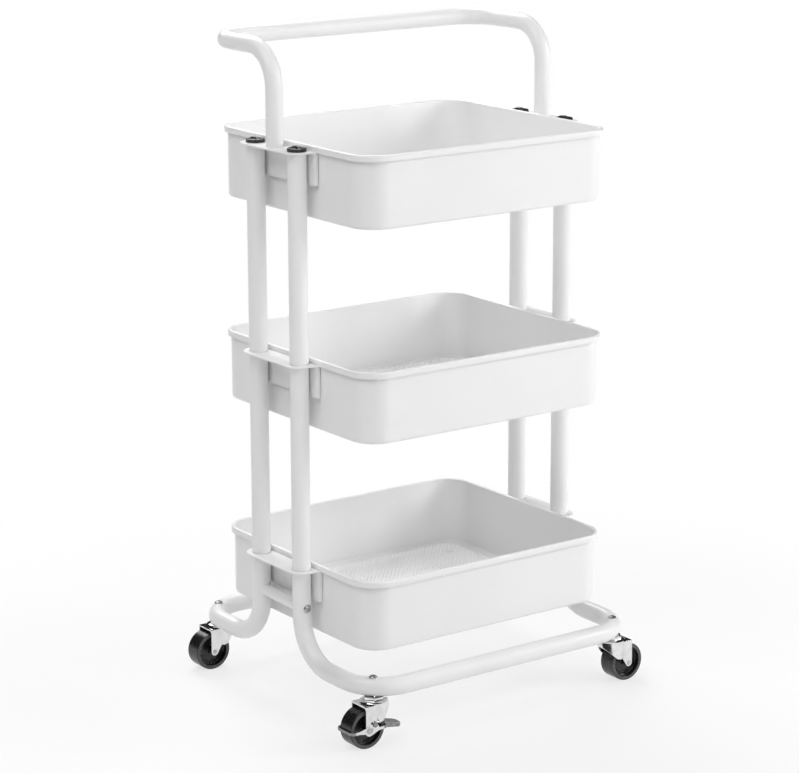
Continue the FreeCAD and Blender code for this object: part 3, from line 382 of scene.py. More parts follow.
def solid_copy(node):
    """A copy of a solid's mesh with its doubled points merged and its flat faces made whole."""
    deselect_all()
    source = frame["nodes"][node]
    mesh = source.data.copy()
    blank = bpy.data.objects.new(f"{node}_dressed", mesh)
    bpy.context.collection.objects.link(blank)
    blank.select_set(True)
    bpy.context.view_layer.objects.active = blank
    mesh.materials.clear()
    bpy.ops.object.mode_set(mode="EDIT")
    bpy.ops.mesh.select_all(action="SELECT")
    bpy.ops.mesh.remove_doubles(threshold=MERGE)
    bpy.ops.mesh.dissolve_limited(angle_limit=FLAT)
    bpy.ops.object.mode_set(mode="OBJECT")
    return blank


def rounded_copy(node, edge, angle=40):
    """A copy of a solid's mesh with its edges rounded."""
    blank = solid_copy(node)
    round_edges(blank, edge, angle=angle)
    smooth(blank)
    return blank


def place(blank, move=(0, 0, 0), turn=None):
    """Turns and moves a piece, with its place kept in its mesh."""
    deselect_all()
    blank.select_set(True)
    bpy.context.view_layer.objects.active = blank
    blank.matrix_world = Matrix.Translation(Vector(move)) @ (turn or Matrix())
    bpy.ops.object.transform_apply(location=True, rotation=True, scale=True)
    return blank


def copied(source, name, move=(0, 0, 0), half_turn=False):
    """A copy with its own mesh, given half a turn about the cart's middle where asked, then moved."""
    deselect_all()
    source.select_set(True)
    bpy.context.view_layer.objects.active = source
    bpy.ops.object.duplicate()
    blank = bpy.context.object
    blank.name = blank.data.name = name
    return place(blank, move, Matrix.Rotation(math.pi, 4, "Z") if half_turn else None)


def combine(base, tool, operation):
    """Joins a tool shape to a base or cuts it out, and drops the tool."""
    apply_modifier(base, "BOOLEAN", object=tool, operation=operation, solver="EXACT")
    bpy.data.objects.remove(tool)


def settle(blank, node, material):
    """Gives a finished piece its finish and its body, in place of its solid."""
    blank.data.materials.clear()
    blank.data.materials.append(material)
    body = next(name for name, nodes in frame["record"]["behaviour"]["bodies"].items() if node in nodes)
    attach(blank, body)
    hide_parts(node)


def deal(source, moves, material, turned_round=()):
    """Copies a finished piece to each node's place, drops the first, and settles the copies."""
    pieces = {node: copied(source, f"{node}_dressed", move, node in turned_round)
              for node, move in moves.items()}
    bpy.data.objects.remove(source)
    for node, piece in pieces.items():
        settle(piece, node, material)
    return pieces


def swivel(corner):
    """The middle of a caster's stem, and the sign of the way from there to its wheel along X."""
    middle = centre(f"caster_stem_{corner}")
    return middle, math.copysign(1, centre(f"wheel_{corner}").x - middle.x)


# Finishes


class Finish:
    """A material under way, with the few nodes that its patterns need."""

    def __init__(self, name):
        self.material = bpy.data.materials.new(name)
        self.material.use_nodes = True
        self.nodes = self.material.node_tree.nodes
        self.links = self.material.node_tree.links
        self.shader = self.nodes["Principled BSDF"]
        self.spot = self.nodes.new("ShaderNodeTexCoord")

    def set(self, **values):
        for name, value in values.items():
            self.shader.inputs[name.replace("_", " ")].default_value = value

    def grain(self, scale, detail=3.0, stretch=(1, 1, 1)):
        """A cloudy pattern fixed to the piece."""
        mapping = self.nodes.new("ShaderNodeMapping")
        mapping.inputs["Scale"].default_value = stretch
        pattern = self.nodes.new("ShaderNodeTexNoise")
        pattern.inputs["Scale"].default_value = scale
        pattern.inputs["Detail"].default_value = detail
        self.links.new(self.spot.outputs["Object"], mapping.inputs["Vector"])
        self.links.new(mapping.outputs["Vector"], pattern.inputs["Vector"])
        return pattern.outputs["Fac"]

    def shift(self, pattern, low, high):
        """The pattern as a number between two values."""
        between = self.nodes.new("ShaderNodeMapRange")
        between.inputs["From Min"].default_value = 0.3
        between.inputs["From Max"].default_value = 0.7
        between.inputs["To Min"].default_value = low
        between.inputs["To Max"].default_value = high
        self.links.new(pattern, between.inputs["Value"])
        return between.outputs["Result"]

    def tint(self, pattern, dark, light):
        """The pattern as a colour between two colours."""
        ramp = self.nodes.new("ShaderNodeValToRGB")
        ramp.color_ramp.elements[0].position = 0.3
        ramp.color_ramp.elements[1].position = 0.7
        ramp.color_ramp.elements[0].color = (*dark, 1)
        ramp.color_ramp.elements[1].color = (*light, 1)
        self.links.new(pattern, ramp.inputs["Fac"])
        self.links.new(ramp.outputs["Color"], self.shader.inputs["Base Color"])

    def roughen(self, pattern, low, high):
        self.links.new(self.shift(pattern, low, high), self.shader.inputs["Roughness"])

    def emboss(self, pattern, depth, strength=1.0):
        bump = self.nodes.new("ShaderNodeBump")
        bump.inputs["Strength"].default_value = strength
        bump.inputs["Distance"].default_value = depth
        self.links.new(pattern, bump.inputs["Height"])
        self.links.new(bump.outputs["Normal"], self.shader.inputs["Normal"])


def shade(tone, factor):
    return tuple(part * factor for part in tone)


def finish(name):
    """The named finish, made when it is first asked for."""
    return bpy.data.materials.get(name) or FINISHES[name](name, bpy.context.scene.cart_finish)


def gloss_paint(name, settings):
    """Sprayed gloss paint with a faint orange peel."""
    paint = Finish(name)
    paint.tint(paint.grain(7.0), shade(settings.paint, 0.985), shade(settings.paint, 1.015))
    paint.roughen(paint.grain(34.0), settings.paint_gloss - 0.04, settings.paint_gloss + 0.05)
    paint.emboss(paint.grain(420.0, 1.0), 0.00006, 0.35)
    paint.set(Coat_Weight=0.3, Coat_Roughness=0.12, Specular_IOR_Level=0.35)
    return paint.material


def knob_plastic(name, settings):
    """Glossy moulded plastic with a fine mould texture."""
    plastic = Finish(name)
    plastic.tint(plastic.grain(120.0), shade(settings.knob, 0.8), shade(settings.knob, 1.3))
    plastic.roughen(plastic.grain(260.0), 0.16, 0.26)
    plastic.emboss(plastic.grain(1400.0, 1.0), 0.00003, 0.3)
    return plastic.material


def wheel_plastic(name, settings):
    """Moulded wheel plastic, scuffed a little."""
    plastic = Finish(name)
    plastic.tint(plastic.grain(160.0, 5.0), shade(settings.wheel, 0.8), shade(settings.wheel, 1.5))
    plastic.roughen(plastic.grain(220.0, 4.0), 0.22, 0.34)
    plastic.emboss(plastic.grain(900.0, 2.0), 0.00004, 0.3)
    return plastic.material


def rim_plastic(name, settings):
    """Duller plastic of the rim faces, made paler as a painted reflection of the pale surroundings."""
    plastic = Finish(name)
    plastic.tint(plastic.grain(180.0, 5.0), shade(settings.rim, 0.75), shade(settings.rim, 1.25))
    plastic.roughen(plastic.grain(260.0, 4.0), 0.38, 0.52)
    plastic.emboss(plastic.grain(900.0, 2.0), 0.00004, 0.3)
    return plastic.material


def chrome_plate(name, settings):
    """Bright plating over pressed steel that still shows a slight waviness."""
    plate = Finish(name)
    plate.tint(plate.grain(90.0), shade(settings.chrome, 0.92), shade(settings.chrome, 1.06))
    plate.roughen(plate.grain(140.0, 4.0), 0.05, 0.13)
    plate.emboss(plate.grain(160.0, 2.0), 0.00008, 0.3)
    plate.set(Metallic=1.0)
    return plate.material


def zinc_plate(name, settings):
    """Zinc-plated steel of the small turned pieces."""
    steel = Finish(name)
    steel.tint(steel.grain(300.0), shade(settings.bright, 0.85), shade(settings.bright, 1.1))
    steel.roughen(steel.grain(500.0, 4.0), 0.22, 0.36)
    steel.emboss(steel.grain(900.0, 2.0), 0.00003, 0.3)
    steel.set(Metallic=1.0)
    return steel.material


def brake_steel(name, settings):
    """Dark zinc-plated pressed steel, mottled and lightly scratched; on the toe brakes its dark tone is
    partly painted shade, standing in for the shadow that the plated tabs lie in.
    """
    steel = Finish(name)
    steel.tint(steel.grain(260.0, 5.0), shade(settings.brake, 0.75), shade(settings.brake, 1.25))
    steel.roughen(steel.grain(420.0, 4.0, (1, 6, 1)), 0.3, 0.5)
    steel.emboss(steel.grain(700.0, 3.0, (1, 5, 1)), 0.00005, 0.4)
    steel.set(Metallic=0.85)
    return steel.material


def plug_plastic(name, settings):
    """Dull plastic of the plugs inside the tubes."""
    plastic = Finish(name)
    plastic.tint(plastic.grain(150.0), shade(settings.plug, 0.85), shade(settings.plug, 1.15))
    plastic.roughen(plastic.grain(300.0), 0.5, 0.62)
    plastic.emboss(plastic.grain(800.0, 2.0), 0.00004, 0.3)
    return plastic.material


FINISHES = {
    "gloss_paint": gloss_paint,
    "knob_plastic": knob_plastic,
    "wheel_plastic": wheel_plastic,
    "rim_plastic": rim_plastic,
    "chrome_plate": chrome_plate,
    "zinc_plate": zinc_plate,
    "brake_steel": brake_steel,
    "plug_plastic": plug_plastic,
}


# Operators


class CART_OT_bent_tubes(bpy.types.Operator):
    """Bends the push handle and the two base tubes"""

    bl_idname = "cart.bent_tubes"
    bl_label = "Handle and base tubes"

    def execute(self, context):
        bends = context.scene.cart_tubes
        low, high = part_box("handle")
        radius = -low.y
        route = self.route(low, high, radius, low.z, high.z - radius, 0.0, high.y - radius)
        handle = bent_tube("handle", route, [bends.handle_bend, bends.handle_corner,
                                             bends.handle_corner, bends.handle_bend], radius)
        smooth(handle)
        settle(handle, "handle", finish("gloss_paint"))
        for end in ENDS:
            node = f"base_tube_{end}"
            low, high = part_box(node)
            pole_low, pole_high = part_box(f"lower_pole_{end}_left")
            radius = (pole_high.x - pole_low.x) / 2
            leg = (pole_low.y + pole_high.y) / 2
            rail = low.y + radius if end == "front" else high.y - radius
            route = self.route(low, high, radius, high.z, low.z + radius, leg, rail)
            tube = bent_tube(node, route,
                             [bends.leg_bend, bends.base_corner, bends.base_corner, bends.leg_bend], radius)
            smooth(tube)
            settle(tube, node, finish("gloss_paint"))
        return {"FINISHED"}

    @staticmethod
    def route(low, high, radius, foot, level, near_y, far_y):
        """From one foot up or down to the level, along to the far run and back to the other foot."""
        left, right = low.x + radius, high.x - radius
        return [(left, near_y, foot), (left, near_y, level), (left, far_y, level),
                (right, far_y, level), (right, near_y, level), (right, near_y, foot)]


class CART_OT_poles(bpy.types.Operator):
    """Cuts the eight poles and breaks the edges of their ends"""

    bl_idname = "cart.poles"
    bl_label = "Poles"

    def execute(self, context):
        chamfer = context.scene.cart_tubes.pole_chamfer
        low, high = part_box("upper_pole_rear_right")
        radius = (high.x - low.x) / 2
        middle = (low + high) / 2
        rings = [(radius - chamfer, low.z), (radius, low.z + chamfer), (radius, high.z - chamfer),
                 (radius - chamfer, high.z)]
        pole = turned("pole", rings)
        place(pole, (middle.x, middle.y, 0))
        smooth(pole, 60)
        nodes = [f"{row}_pole_{corner}" for row in ("upper", "lower") for corner in CORNERS]
        deal(pole, {node: centre(node) - middle for node in nodes}, finish("gloss_paint"))
        return {"FINISHED"}


class CART_OT_cross_bars(bpy.types.Operator):
    """Finishes the two bars between the legs"""

    bl_idname = "cart.cross_bars"
    bl_label = "Cross bars"

    def execute(self, context):
        for side in SIDES:
            node = f"cross_bar_{side}"
            bar = solid_copy(node)
            smooth(bar)
            settle(bar, node, finish("gloss_paint"))
        return {"FINISHED"}


class CART_OT_trays(bpy.types.Operator):
    """Presses the three trays from one sheet each"""

    bl_idname = "cart.trays"
    bl_label = "Trays"

    def execute(self, context):
        sizes = context.scene.cart_tray
        low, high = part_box("top_tray")
        skin = sizes.sheet / 2
        wall_x = high.x - sizes.overhang - skin
        wall_y = high.y - sizes.overhang - skin
        radius = sizes.corner - sizes.overhang - skin
        bottom, top = low.z + skin, high.z - skin

        def beyond(point):
            """Distance outside the wall's outline in plan."""
            over_x = abs(point.x) - (wall_x - radius)
            over_y = abs(point.y) - (wall_y - radius)
            return math.hypot(max(over_x, 0), max(over_y, 0)) + min(max(over_x, over_y), 0) - radius

        def level(edge):
            return near(edge.verts[0].co.z, edge.verts[1].co.z)

        deselect_all()
        bpy.ops.mesh.primitive_plane_add(size=2, location=(0, 0, bottom))
        bpy.context.object.scale = (wall_x, wall_y, 1)
        tray = open_blank("tray")
        bpy.ops.mesh.bevel(offset=radius, segments=14, affect="VERTICES")
        bpy.ops.mesh.select_all(action="SELECT")
        bpy.ops.mesh.inset(thickness=sizes.flange)
        bpy.ops.mesh.delete(type="FACE")
        pick("edges", lambda edge: edge.is_boundary and beyond(halfway(edge)) > -sizes.flange / 2)
        draw_out((0, 0, top - bottom))
        outward = self.outward(tray)
        draw_out((0, 0, sizes.overhang))
        bpy.ops.transform.shrink_fatten(value=outward * sizes.overhang)
        bpy.ops.transform.translate(value=(0, 0, -sizes.overhang))
        draw_out((0, 0, -(sizes.rim_drop - skin)))
        pick("edges", lambda edge: near(halfway(edge).z, bottom) and not edge.is_boundary and level(edge)
             and beyond(halfway(edge)) > -sizes.flange / 2
             and all(beyond(vertex.co) > -TOUCH for vertex in edge.verts))
        bpy.ops.mesh.bevel(offset=sizes.bottom_rounding, segments=6, affect="EDGES")
        pick("edges", lambda edge: all(near(vertex.co.z, top) for vertex in edge.verts)
             and abs(beyond(edge.verts[0].co) - beyond(edge.verts[1].co)) < sizes.overhang / 2)
        bpy.ops.mesh.bevel(offset=sizes.rim_rounding, segments=5, affect="EDGES")
        apply_modifier(tray, "SOLIDIFY", thickness=sizes.sheet, offset=0.0, use_even_offset=True)
        smooth(tray)
        nodes = [f"{tier}_tray" for tier in TIERS]
        deal(tray, {node: (0, 0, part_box(node)[0].z - low.z) for node in nodes}, finish("gloss_paint"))
        return {"FINISHED"}

    @staticmethod
    def outward(tray):
        """Plus one where the wall's faces point away from the tray's middle, else minus one."""
        mesh = bmesh.from_edit_mesh(tray.data)
        mesh.normal_update()
        wall = max(mesh.faces, key=lambda face: face.calc_center_median().x)
        return 1 if wall.normal.x > 0 else -1


class CART_OT_mesh_floors(bpy.types.Operator):
    """Stretches the diamond mesh of the three tray floors"""

    bl_idname = "cart.mesh_floors"
    bl_label = "Mesh floors"

    def execute(self, context):
        sizes = context.scene.cart_mesh
        low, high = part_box("top_mesh_floor")
        half_x, half_y, top = high.x, high.y, high.z
        radius = context.scene.cart_tray.corner - (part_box("top_tray")[1].x - high.x)
        inner_x = math.floor((half_x - sizes.border) / (sizes.pitch_x / 2)) * sizes.pitch_x / 2
        inner_y = math.floor((half_y - sizes.border) / (sizes.pitch_y / 2)) * sizes.pitch_y / 2
        cells = 2 * math.ceil(inner_x / sizes.pitch_x + inner_y / sizes.pitch_y) + 2
        deselect_all()
        bpy.ops.mesh.primitive_grid_add(x_subdivisions=cells, y_subdivisions=cells, size=cells,
                                        location=(0, 0, 0), rotation=(0, 0, math.pi / 4))
        lattice = open_blank("lattice")
        bpy.ops.transform.resize(value=(sizes.pitch_x / math.sqrt(2), sizes.pitch_y / math.sqrt(2), 1))
        bpy.ops.transform.translate(value=(0, 0, low.z + sizes.sheet / 2))
        for normal, edge in (((1, 0, 0), inner_x), ((-1, 0, 0), inner_x),
                             ((0, 1, 0), inner_y), ((0, -1, 0), inner_y)):
            bpy.ops.mesh.select_all(action="SELECT")
            bpy.ops.mesh.bisect(plane_co=Vector(normal) * edge, plane_no=normal, clear_outer=True)
        inner_radius = radius - sizes.border

        def outside(face):
            at = face.calc_center_median()
            over_x = abs(at.x) - (inner_x - inner_radius)
            over_y = abs(at.y) - (inner_y - inner_radius)
            return min(over_x, over_y) > 0 and math.hypot(over_x, over_y) > inner_radius + sizes.corner_slack

        pick("faces", outside)
        bpy.ops.mesh.delete(type="FACE")
        bpy.ops.mesh.select_all(action="SELECT")
        bpy.ops.mesh.inset(thickness=sizes.strand / 2, use_individual=True, use_even_offset=True)
        bpy.ops.mesh.delete(type="FACE")
        apply_modifier(lattice, "SOLIDIFY", thickness=sizes.sheet, offset=0.0)
        deselect_all()
        bpy.ops.mesh.primitive_plane_add(size=2, location=(0, 0, top - sizes.border_sheet / 2))
        bpy.context.object.scale = (half_x, half_y, 1)
        border = open_blank("border")
        bpy.ops.mesh.bevel(offset=radius, segments=12, affect="VERTICES")
        bpy.ops.mesh.select_all(action="SELECT")
        bpy.ops.mesh.inset(thickness=max(half_x - inner_x, half_y - inner_y))
        bpy.ops.mesh.delete(type="FACE")
        apply_modifier(border, "SOLIDIFY", thickness=sizes.border_sheet, offset=0.0)
        deselect_all()
        lattice.select_set(True)
        border.select_set(True)
        bpy.context.view_layer.objects.active = border
        bpy.ops.object.join()
        smooth(border, 30)
        nodes = [f"{tier}_mesh_floor" for tier in TIERS]
        deal(border, {node: (0, 0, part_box(node)[0].z - low.z) for node in nodes}, finish("gloss_paint"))
        return {"FINISHED"}


class CART_OT_brackets(bpy.types.Operator):
    """Folds the six end brackets"""

    bl_idname = "cart.brackets"
    bl_label = "Brackets"

    def execute(self, context):
        sizes = context.scene.cart_bracket
        low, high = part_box("top_bracket_right")
        skin = sizes.sheet / 2
        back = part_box("top_tray")[1].x + sizes.gap + skin
        wall = low.x + skin
        edge_y = high.y - skin
        edge_x = high.x - skin
        top = high.z - skin
        deselect_all()
        bpy.ops.mesh.primitive_plane_add(size=2, location=((back + edge_x) / 2, 0, top))
        bpy.context.object.scale = ((edge_x - back) / 2, edge_y, 1)
        bracket = open_blank("bracket")
        pick("verts", lambda vertex: near(vertex.co.x, edge_x))
        bpy.ops.mesh.bevel(offset=sizes.nose - skin, segments=12, affect="VERTICES")
        pick("edges", lambda edge: near(halfway(edge).x, back))
        draw_out((0, 0, -(sizes.drop - skin)))
        pick("edges", lambda edge: near(abs(halfway(edge).y), edge_y) and near(halfway(edge).x, back)
             and halfway(edge).z < top - 0.001)
        draw_out((wall - back, 0, 0))
        for way in (1, -1):
            pick("edges", lambda edge: near(halfway(edge).x, wall) and near(halfway(edge).y, way * edge_y))
            draw_out((0, -way * (sizes.tab - skin), 0))
        pick("edges", lambda edge: len(edge.link_faces) == 2 and edge.calc_face_angle() > SHARP)
        bpy.ops.mesh.bevel(offset=sizes.fold, segments=4, affect="EDGES")
        face_outward()
        apply_modifier(bracket, "SOLIDIFY", thickness=sizes.sheet, offset=0.0, use_even_offset=True)
        round_edges(bracket, sizes.edge)
        smooth(bracket)
        nodes = [f"{tier}_bracket_{side}" for tier in TIERS for side in SIDES]
        deal(bracket, {node: (0, 0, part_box(node)[1].z - high.z) for node in nodes}, finish("gloss_paint"),
             [node for node in nodes if node.endswith("left")])
        return {"FINISHED"}


class CART_OT_knobs(bpy.types.Operator):
    """Moulds the four thumb knobs"""

    bl_idname = "cart.knobs"
    bl_label = "Thumb knobs"

    def execute(self, context):
        low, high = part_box("knob_rear_right")
        middle = (low + high) / 2
        radius = (high.x - low.x) / 2
        crown = high.z - low.z
        sizes = context.scene.cart_knob
        rings = [(radius - sizes.foot_edge, 0), (radius, sizes.foot_edge)]
        for step in range(0, 91, 18):
            angle = math.radians(step)
            rings.append((radius - sizes.rounding * (1 - math.cos(angle)),
                          sizes.disc - sizes.rounding * (1 - math.sin(angle))))
        rings.append((radius / 2, sizes.disc + sizes.dome))
        knob = turned("knob", rings, 64)
        foot = sizes.disc / 2
        deselect_all()
        bpy.ops.mesh.primitive_cube_add(size=1, location=(0, 0, (foot + crown) / 2))
        bpy.context.object.scale = (sizes.grip_width, sizes.grip_length, crown - foot)
        grip = open_blank("grip")
        bpy.ops.mesh.bisect(plane_co=(0, 0, sizes.disc), plane_no=(0, 0, 1))
        pick("faces", lambda face: face.normal.z > 0.9)
        bpy.ops.transform.resize(value=(sizes.grip_top, 1 - 2 * sizes.grip_slope / sizes.grip_length, 1),
                                 center_override=(0, 0, crown))
        pick("edges", lambda edge: halfway(edge).z > sizes.disc + TOUCH)
        bpy.ops.mesh.bevel(offset=sizes.grip_rounding, segments=5, affect="EDGES")
        bpy.ops.object.mode_set(mode="OBJECT")
        combine(knob, grip, "UNION")
        round_edges(knob, sizes.edge, angle=40)
        place(knob, (middle.x, middle.y, low.z))
        smooth(knob, 40)
        nodes = [f"knob_{corner}" for corner in CORNERS]
        deal(knob, {node: centre(node) - middle for node in nodes}, finish("knob_plastic"))
        return {"FINISHED"}


class CART_OT_screws(bpy.types.Operator):
    """Finishes the round-headed screws of the base and the cross bars"""

    bl_idname = "cart.screws"
    bl_label = "Screws"

    def execute(self, context):
        for node in ("caster_screws", "cross_bar_screws"):
            screws = rounded_copy(node, context.scene.cart_caster.screw_edge)
            settle(screws, node, finish("zinc_plate"))
        return {"FINISHED"}


class CART_OT_caster_stems(bpy.types.Operator):
    """Finishes the four caster stems with their collars and race covers"""

    bl_idname = "cart.caster_stems"
    bl_label = "Caster stems"

    def execute(self, context):
        for corner in CORNERS:
            node = f"caster_stem_{corner}"
            stem = rounded_copy(node, context.scene.cart_caster.edge)
            settle(stem, node, finish("chrome_plate"))
        return {"FINISHED"}


class CART_OT_caster_yokes(bpy.types.Operator):
    """Finishes the four pressed caster yokes"""

    bl_idname = "cart.caster_yokes"
    bl_label = "Caster yokes"

    def execute(self, context):
        sizes = context.scene.cart_caster
        for corner in CORNERS:
            node = f"caster_yoke_{corner}"
            yoke = solid_copy(node)
            self.spread_skirt(yoke, corner, sizes)
            round_edges(yoke, sizes.yoke_rounding, 3, 35)
            smooth(yoke)
            settle(yoke, node, finish("chrome_plate"))
        return {"FINISHED"}

    @staticmethod
    def spread_skirt(yoke, corner, sizes):
        """Moves the lower edge of the skirt outwards on both sides, so that its walls lean."""
        middle, outward = swivel(corner)
        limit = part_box(f"caster_yoke_{corner}")[1].z - sizes.flare_depth
        reopen(yoke)
        for way in (-1, 1):
            pick("verts", lambda spot: (spot.co.x - middle.x) * outward < sizes.flare_reach
                 and spot.co.z < limit and (spot.co.y - middle.y) * way > sizes.flare_side)
            bpy.ops.transform.translate(value=(0, way * sizes.flare, 0))
        bpy.ops.object.mode_set(mode="OBJECT")


class CART_OT_axles(bpy.types.Operator):
    """Finishes the wheel axles and the brake pivot pins"""

    bl_idname = "cart.axles"
    bl_label = "Axles and pins"

    def execute(self, context):
        plating = {f"axle_{corner}": "zinc_plate" for corner in CORNERS}
        plating.update({f"brake_pins_{corner}": "brake_steel" for corner in BRAKED})
        for node, name in plating.items():
            pin = rounded_copy(node, context.scene.cart_caster.edge, 35)
            settle(pin, node, finish(name))
        return {"FINISHED"}


class CART_OT_wheels(bpy.types.Operator):
    """Turns the four wheels"""

    bl_idname = "cart.wheels"
    bl_label = "Wheels"

    def execute(self, context):
        sizes = context.scene.cart_caster
        low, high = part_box("wheel_rear_right")
        middle = (low + high) / 2
        radius = (high.z - low.z) / 2
        hub_end = (high.y - low.y) / 2
        hub = sizes.hub / 2
        web = sizes.web / 2
        face = sizes.tread / 2
        rim = radius - sizes.rim
        shoulder = sizes.shoulder
        edge = sizes.wheel_edge
        fillet = sizes.fillet
        bead = web + sizes.bead_height
        half = [(sizes.bore / 2, hub_end), (hub - edge, hub_end), (hub, hub_end - edge),
                (hub, web + fillet), (hub + fillet, web),
                (rim - sizes.bead, web), (rim - sizes.bead + sizes.bead_height, bead), (rim - fillet, bead),
                (rim - fillet / 4, bead + fillet * 2 / 3), (rim, face - edge), (rim + edge, face)]
        for step in range(0, 91, 15):
            angle = math.radians(step)
            half.append((radius - shoulder * (1 - math.sin(angle)), face - shoulder * (1 - math.cos(angle))))
        rings = half + [(ring, -level) for ring, level in reversed(half)]
        wheel = turned("wheel", rings, sizes.segments, bored=True)
        place(wheel, middle, Matrix.Rotation(RIGHT_ANGLE, 4, "X"))
        smooth(wheel)
        nodes = [f"wheel_{corner}" for corner in CORNERS]
        wheels = deal(wheel, {node: centre(node) - middle for node in nodes}, finish("wheel_plastic"))
        for node, piece in wheels.items():
            # The rim faces get the paler plastic, a painted reflection.
            piece.data.materials.append(finish("rim_plastic"))
            axle = centre(node)
            for polygon in piece.data.polygons:
                spot = polygon.center - axle
                if abs(abs(spot.y) - face) < edge / 2 and math.hypot(spot.x, spot.z) > rim:
                    polygon.material_index = 1
        return {"FINISHED"}


class CART_OT_brakes(bpy.types.Operator):
    """Finishes the two toe brakes"""

    bl_idname = "cart.brakes"
    bl_label = "Toe brakes"

    def execute(self, context):
        sizes = context.scene.cart_caster
        for corner in BRAKED:
            node = f"brake_lever_{corner}"
            lever = solid_copy(node)
            middle, outward = swivel(corner)
            reopen(lever)
            pick("edges", lambda edge: edge.calc_face_angle(0) > SHARP
                 and all((middle.x - vertex.co.x) * outward > sizes.toe_tip for vertex in edge.verts))
            bpy.ops.mesh.bevel(offset=sizes.toe_round, segments=4, affect="EDGES")
            bpy.ops.object.mode_set(mode="OBJECT")
            round_edges(lever, sizes.edge, angle=35)
            smooth(lever)
            # The lever is dark steel as painted shade, except the part on the wheel's side near the swivel,
            # which is chrome.
            settle(lever, node, finish("brake_steel"))
            lever.data.materials.append(finish("chrome_plate"))
            for face in lever.data.polygons:
                if 0 < (face.center.x - middle.x) * outward < sizes.unshaded_reach:
                    face.material_index = 1
        return {"FINISHED"}


class CART_OT_inner_parts(bpy.types.Operator):
    """Gives the plugs, studs, shanks and balls inside the cart their finishes"""

    bl_idname = "cart.inner_parts"
    bl_label = "Inner parts"

    def execute(self, context):
        inside = {"plug_plastic": ("upper_pole_plugs", "lower_pole_plugs", "base_leg_plugs"),
                  "zinc_plate": ("middle_pole_studs", "bottom_pole_studs", "knob_shanks", "bearing_balls")}
        for name, nodes in inside.items():
            for node in nodes:
                slots = frame["nodes"][node].material_slots
                if not slots:
                    raise RuntimeError(f"{node}: no material slot")
                for slot in slots:
                    slot.material = finish(name)
        return {"FINISHED"}


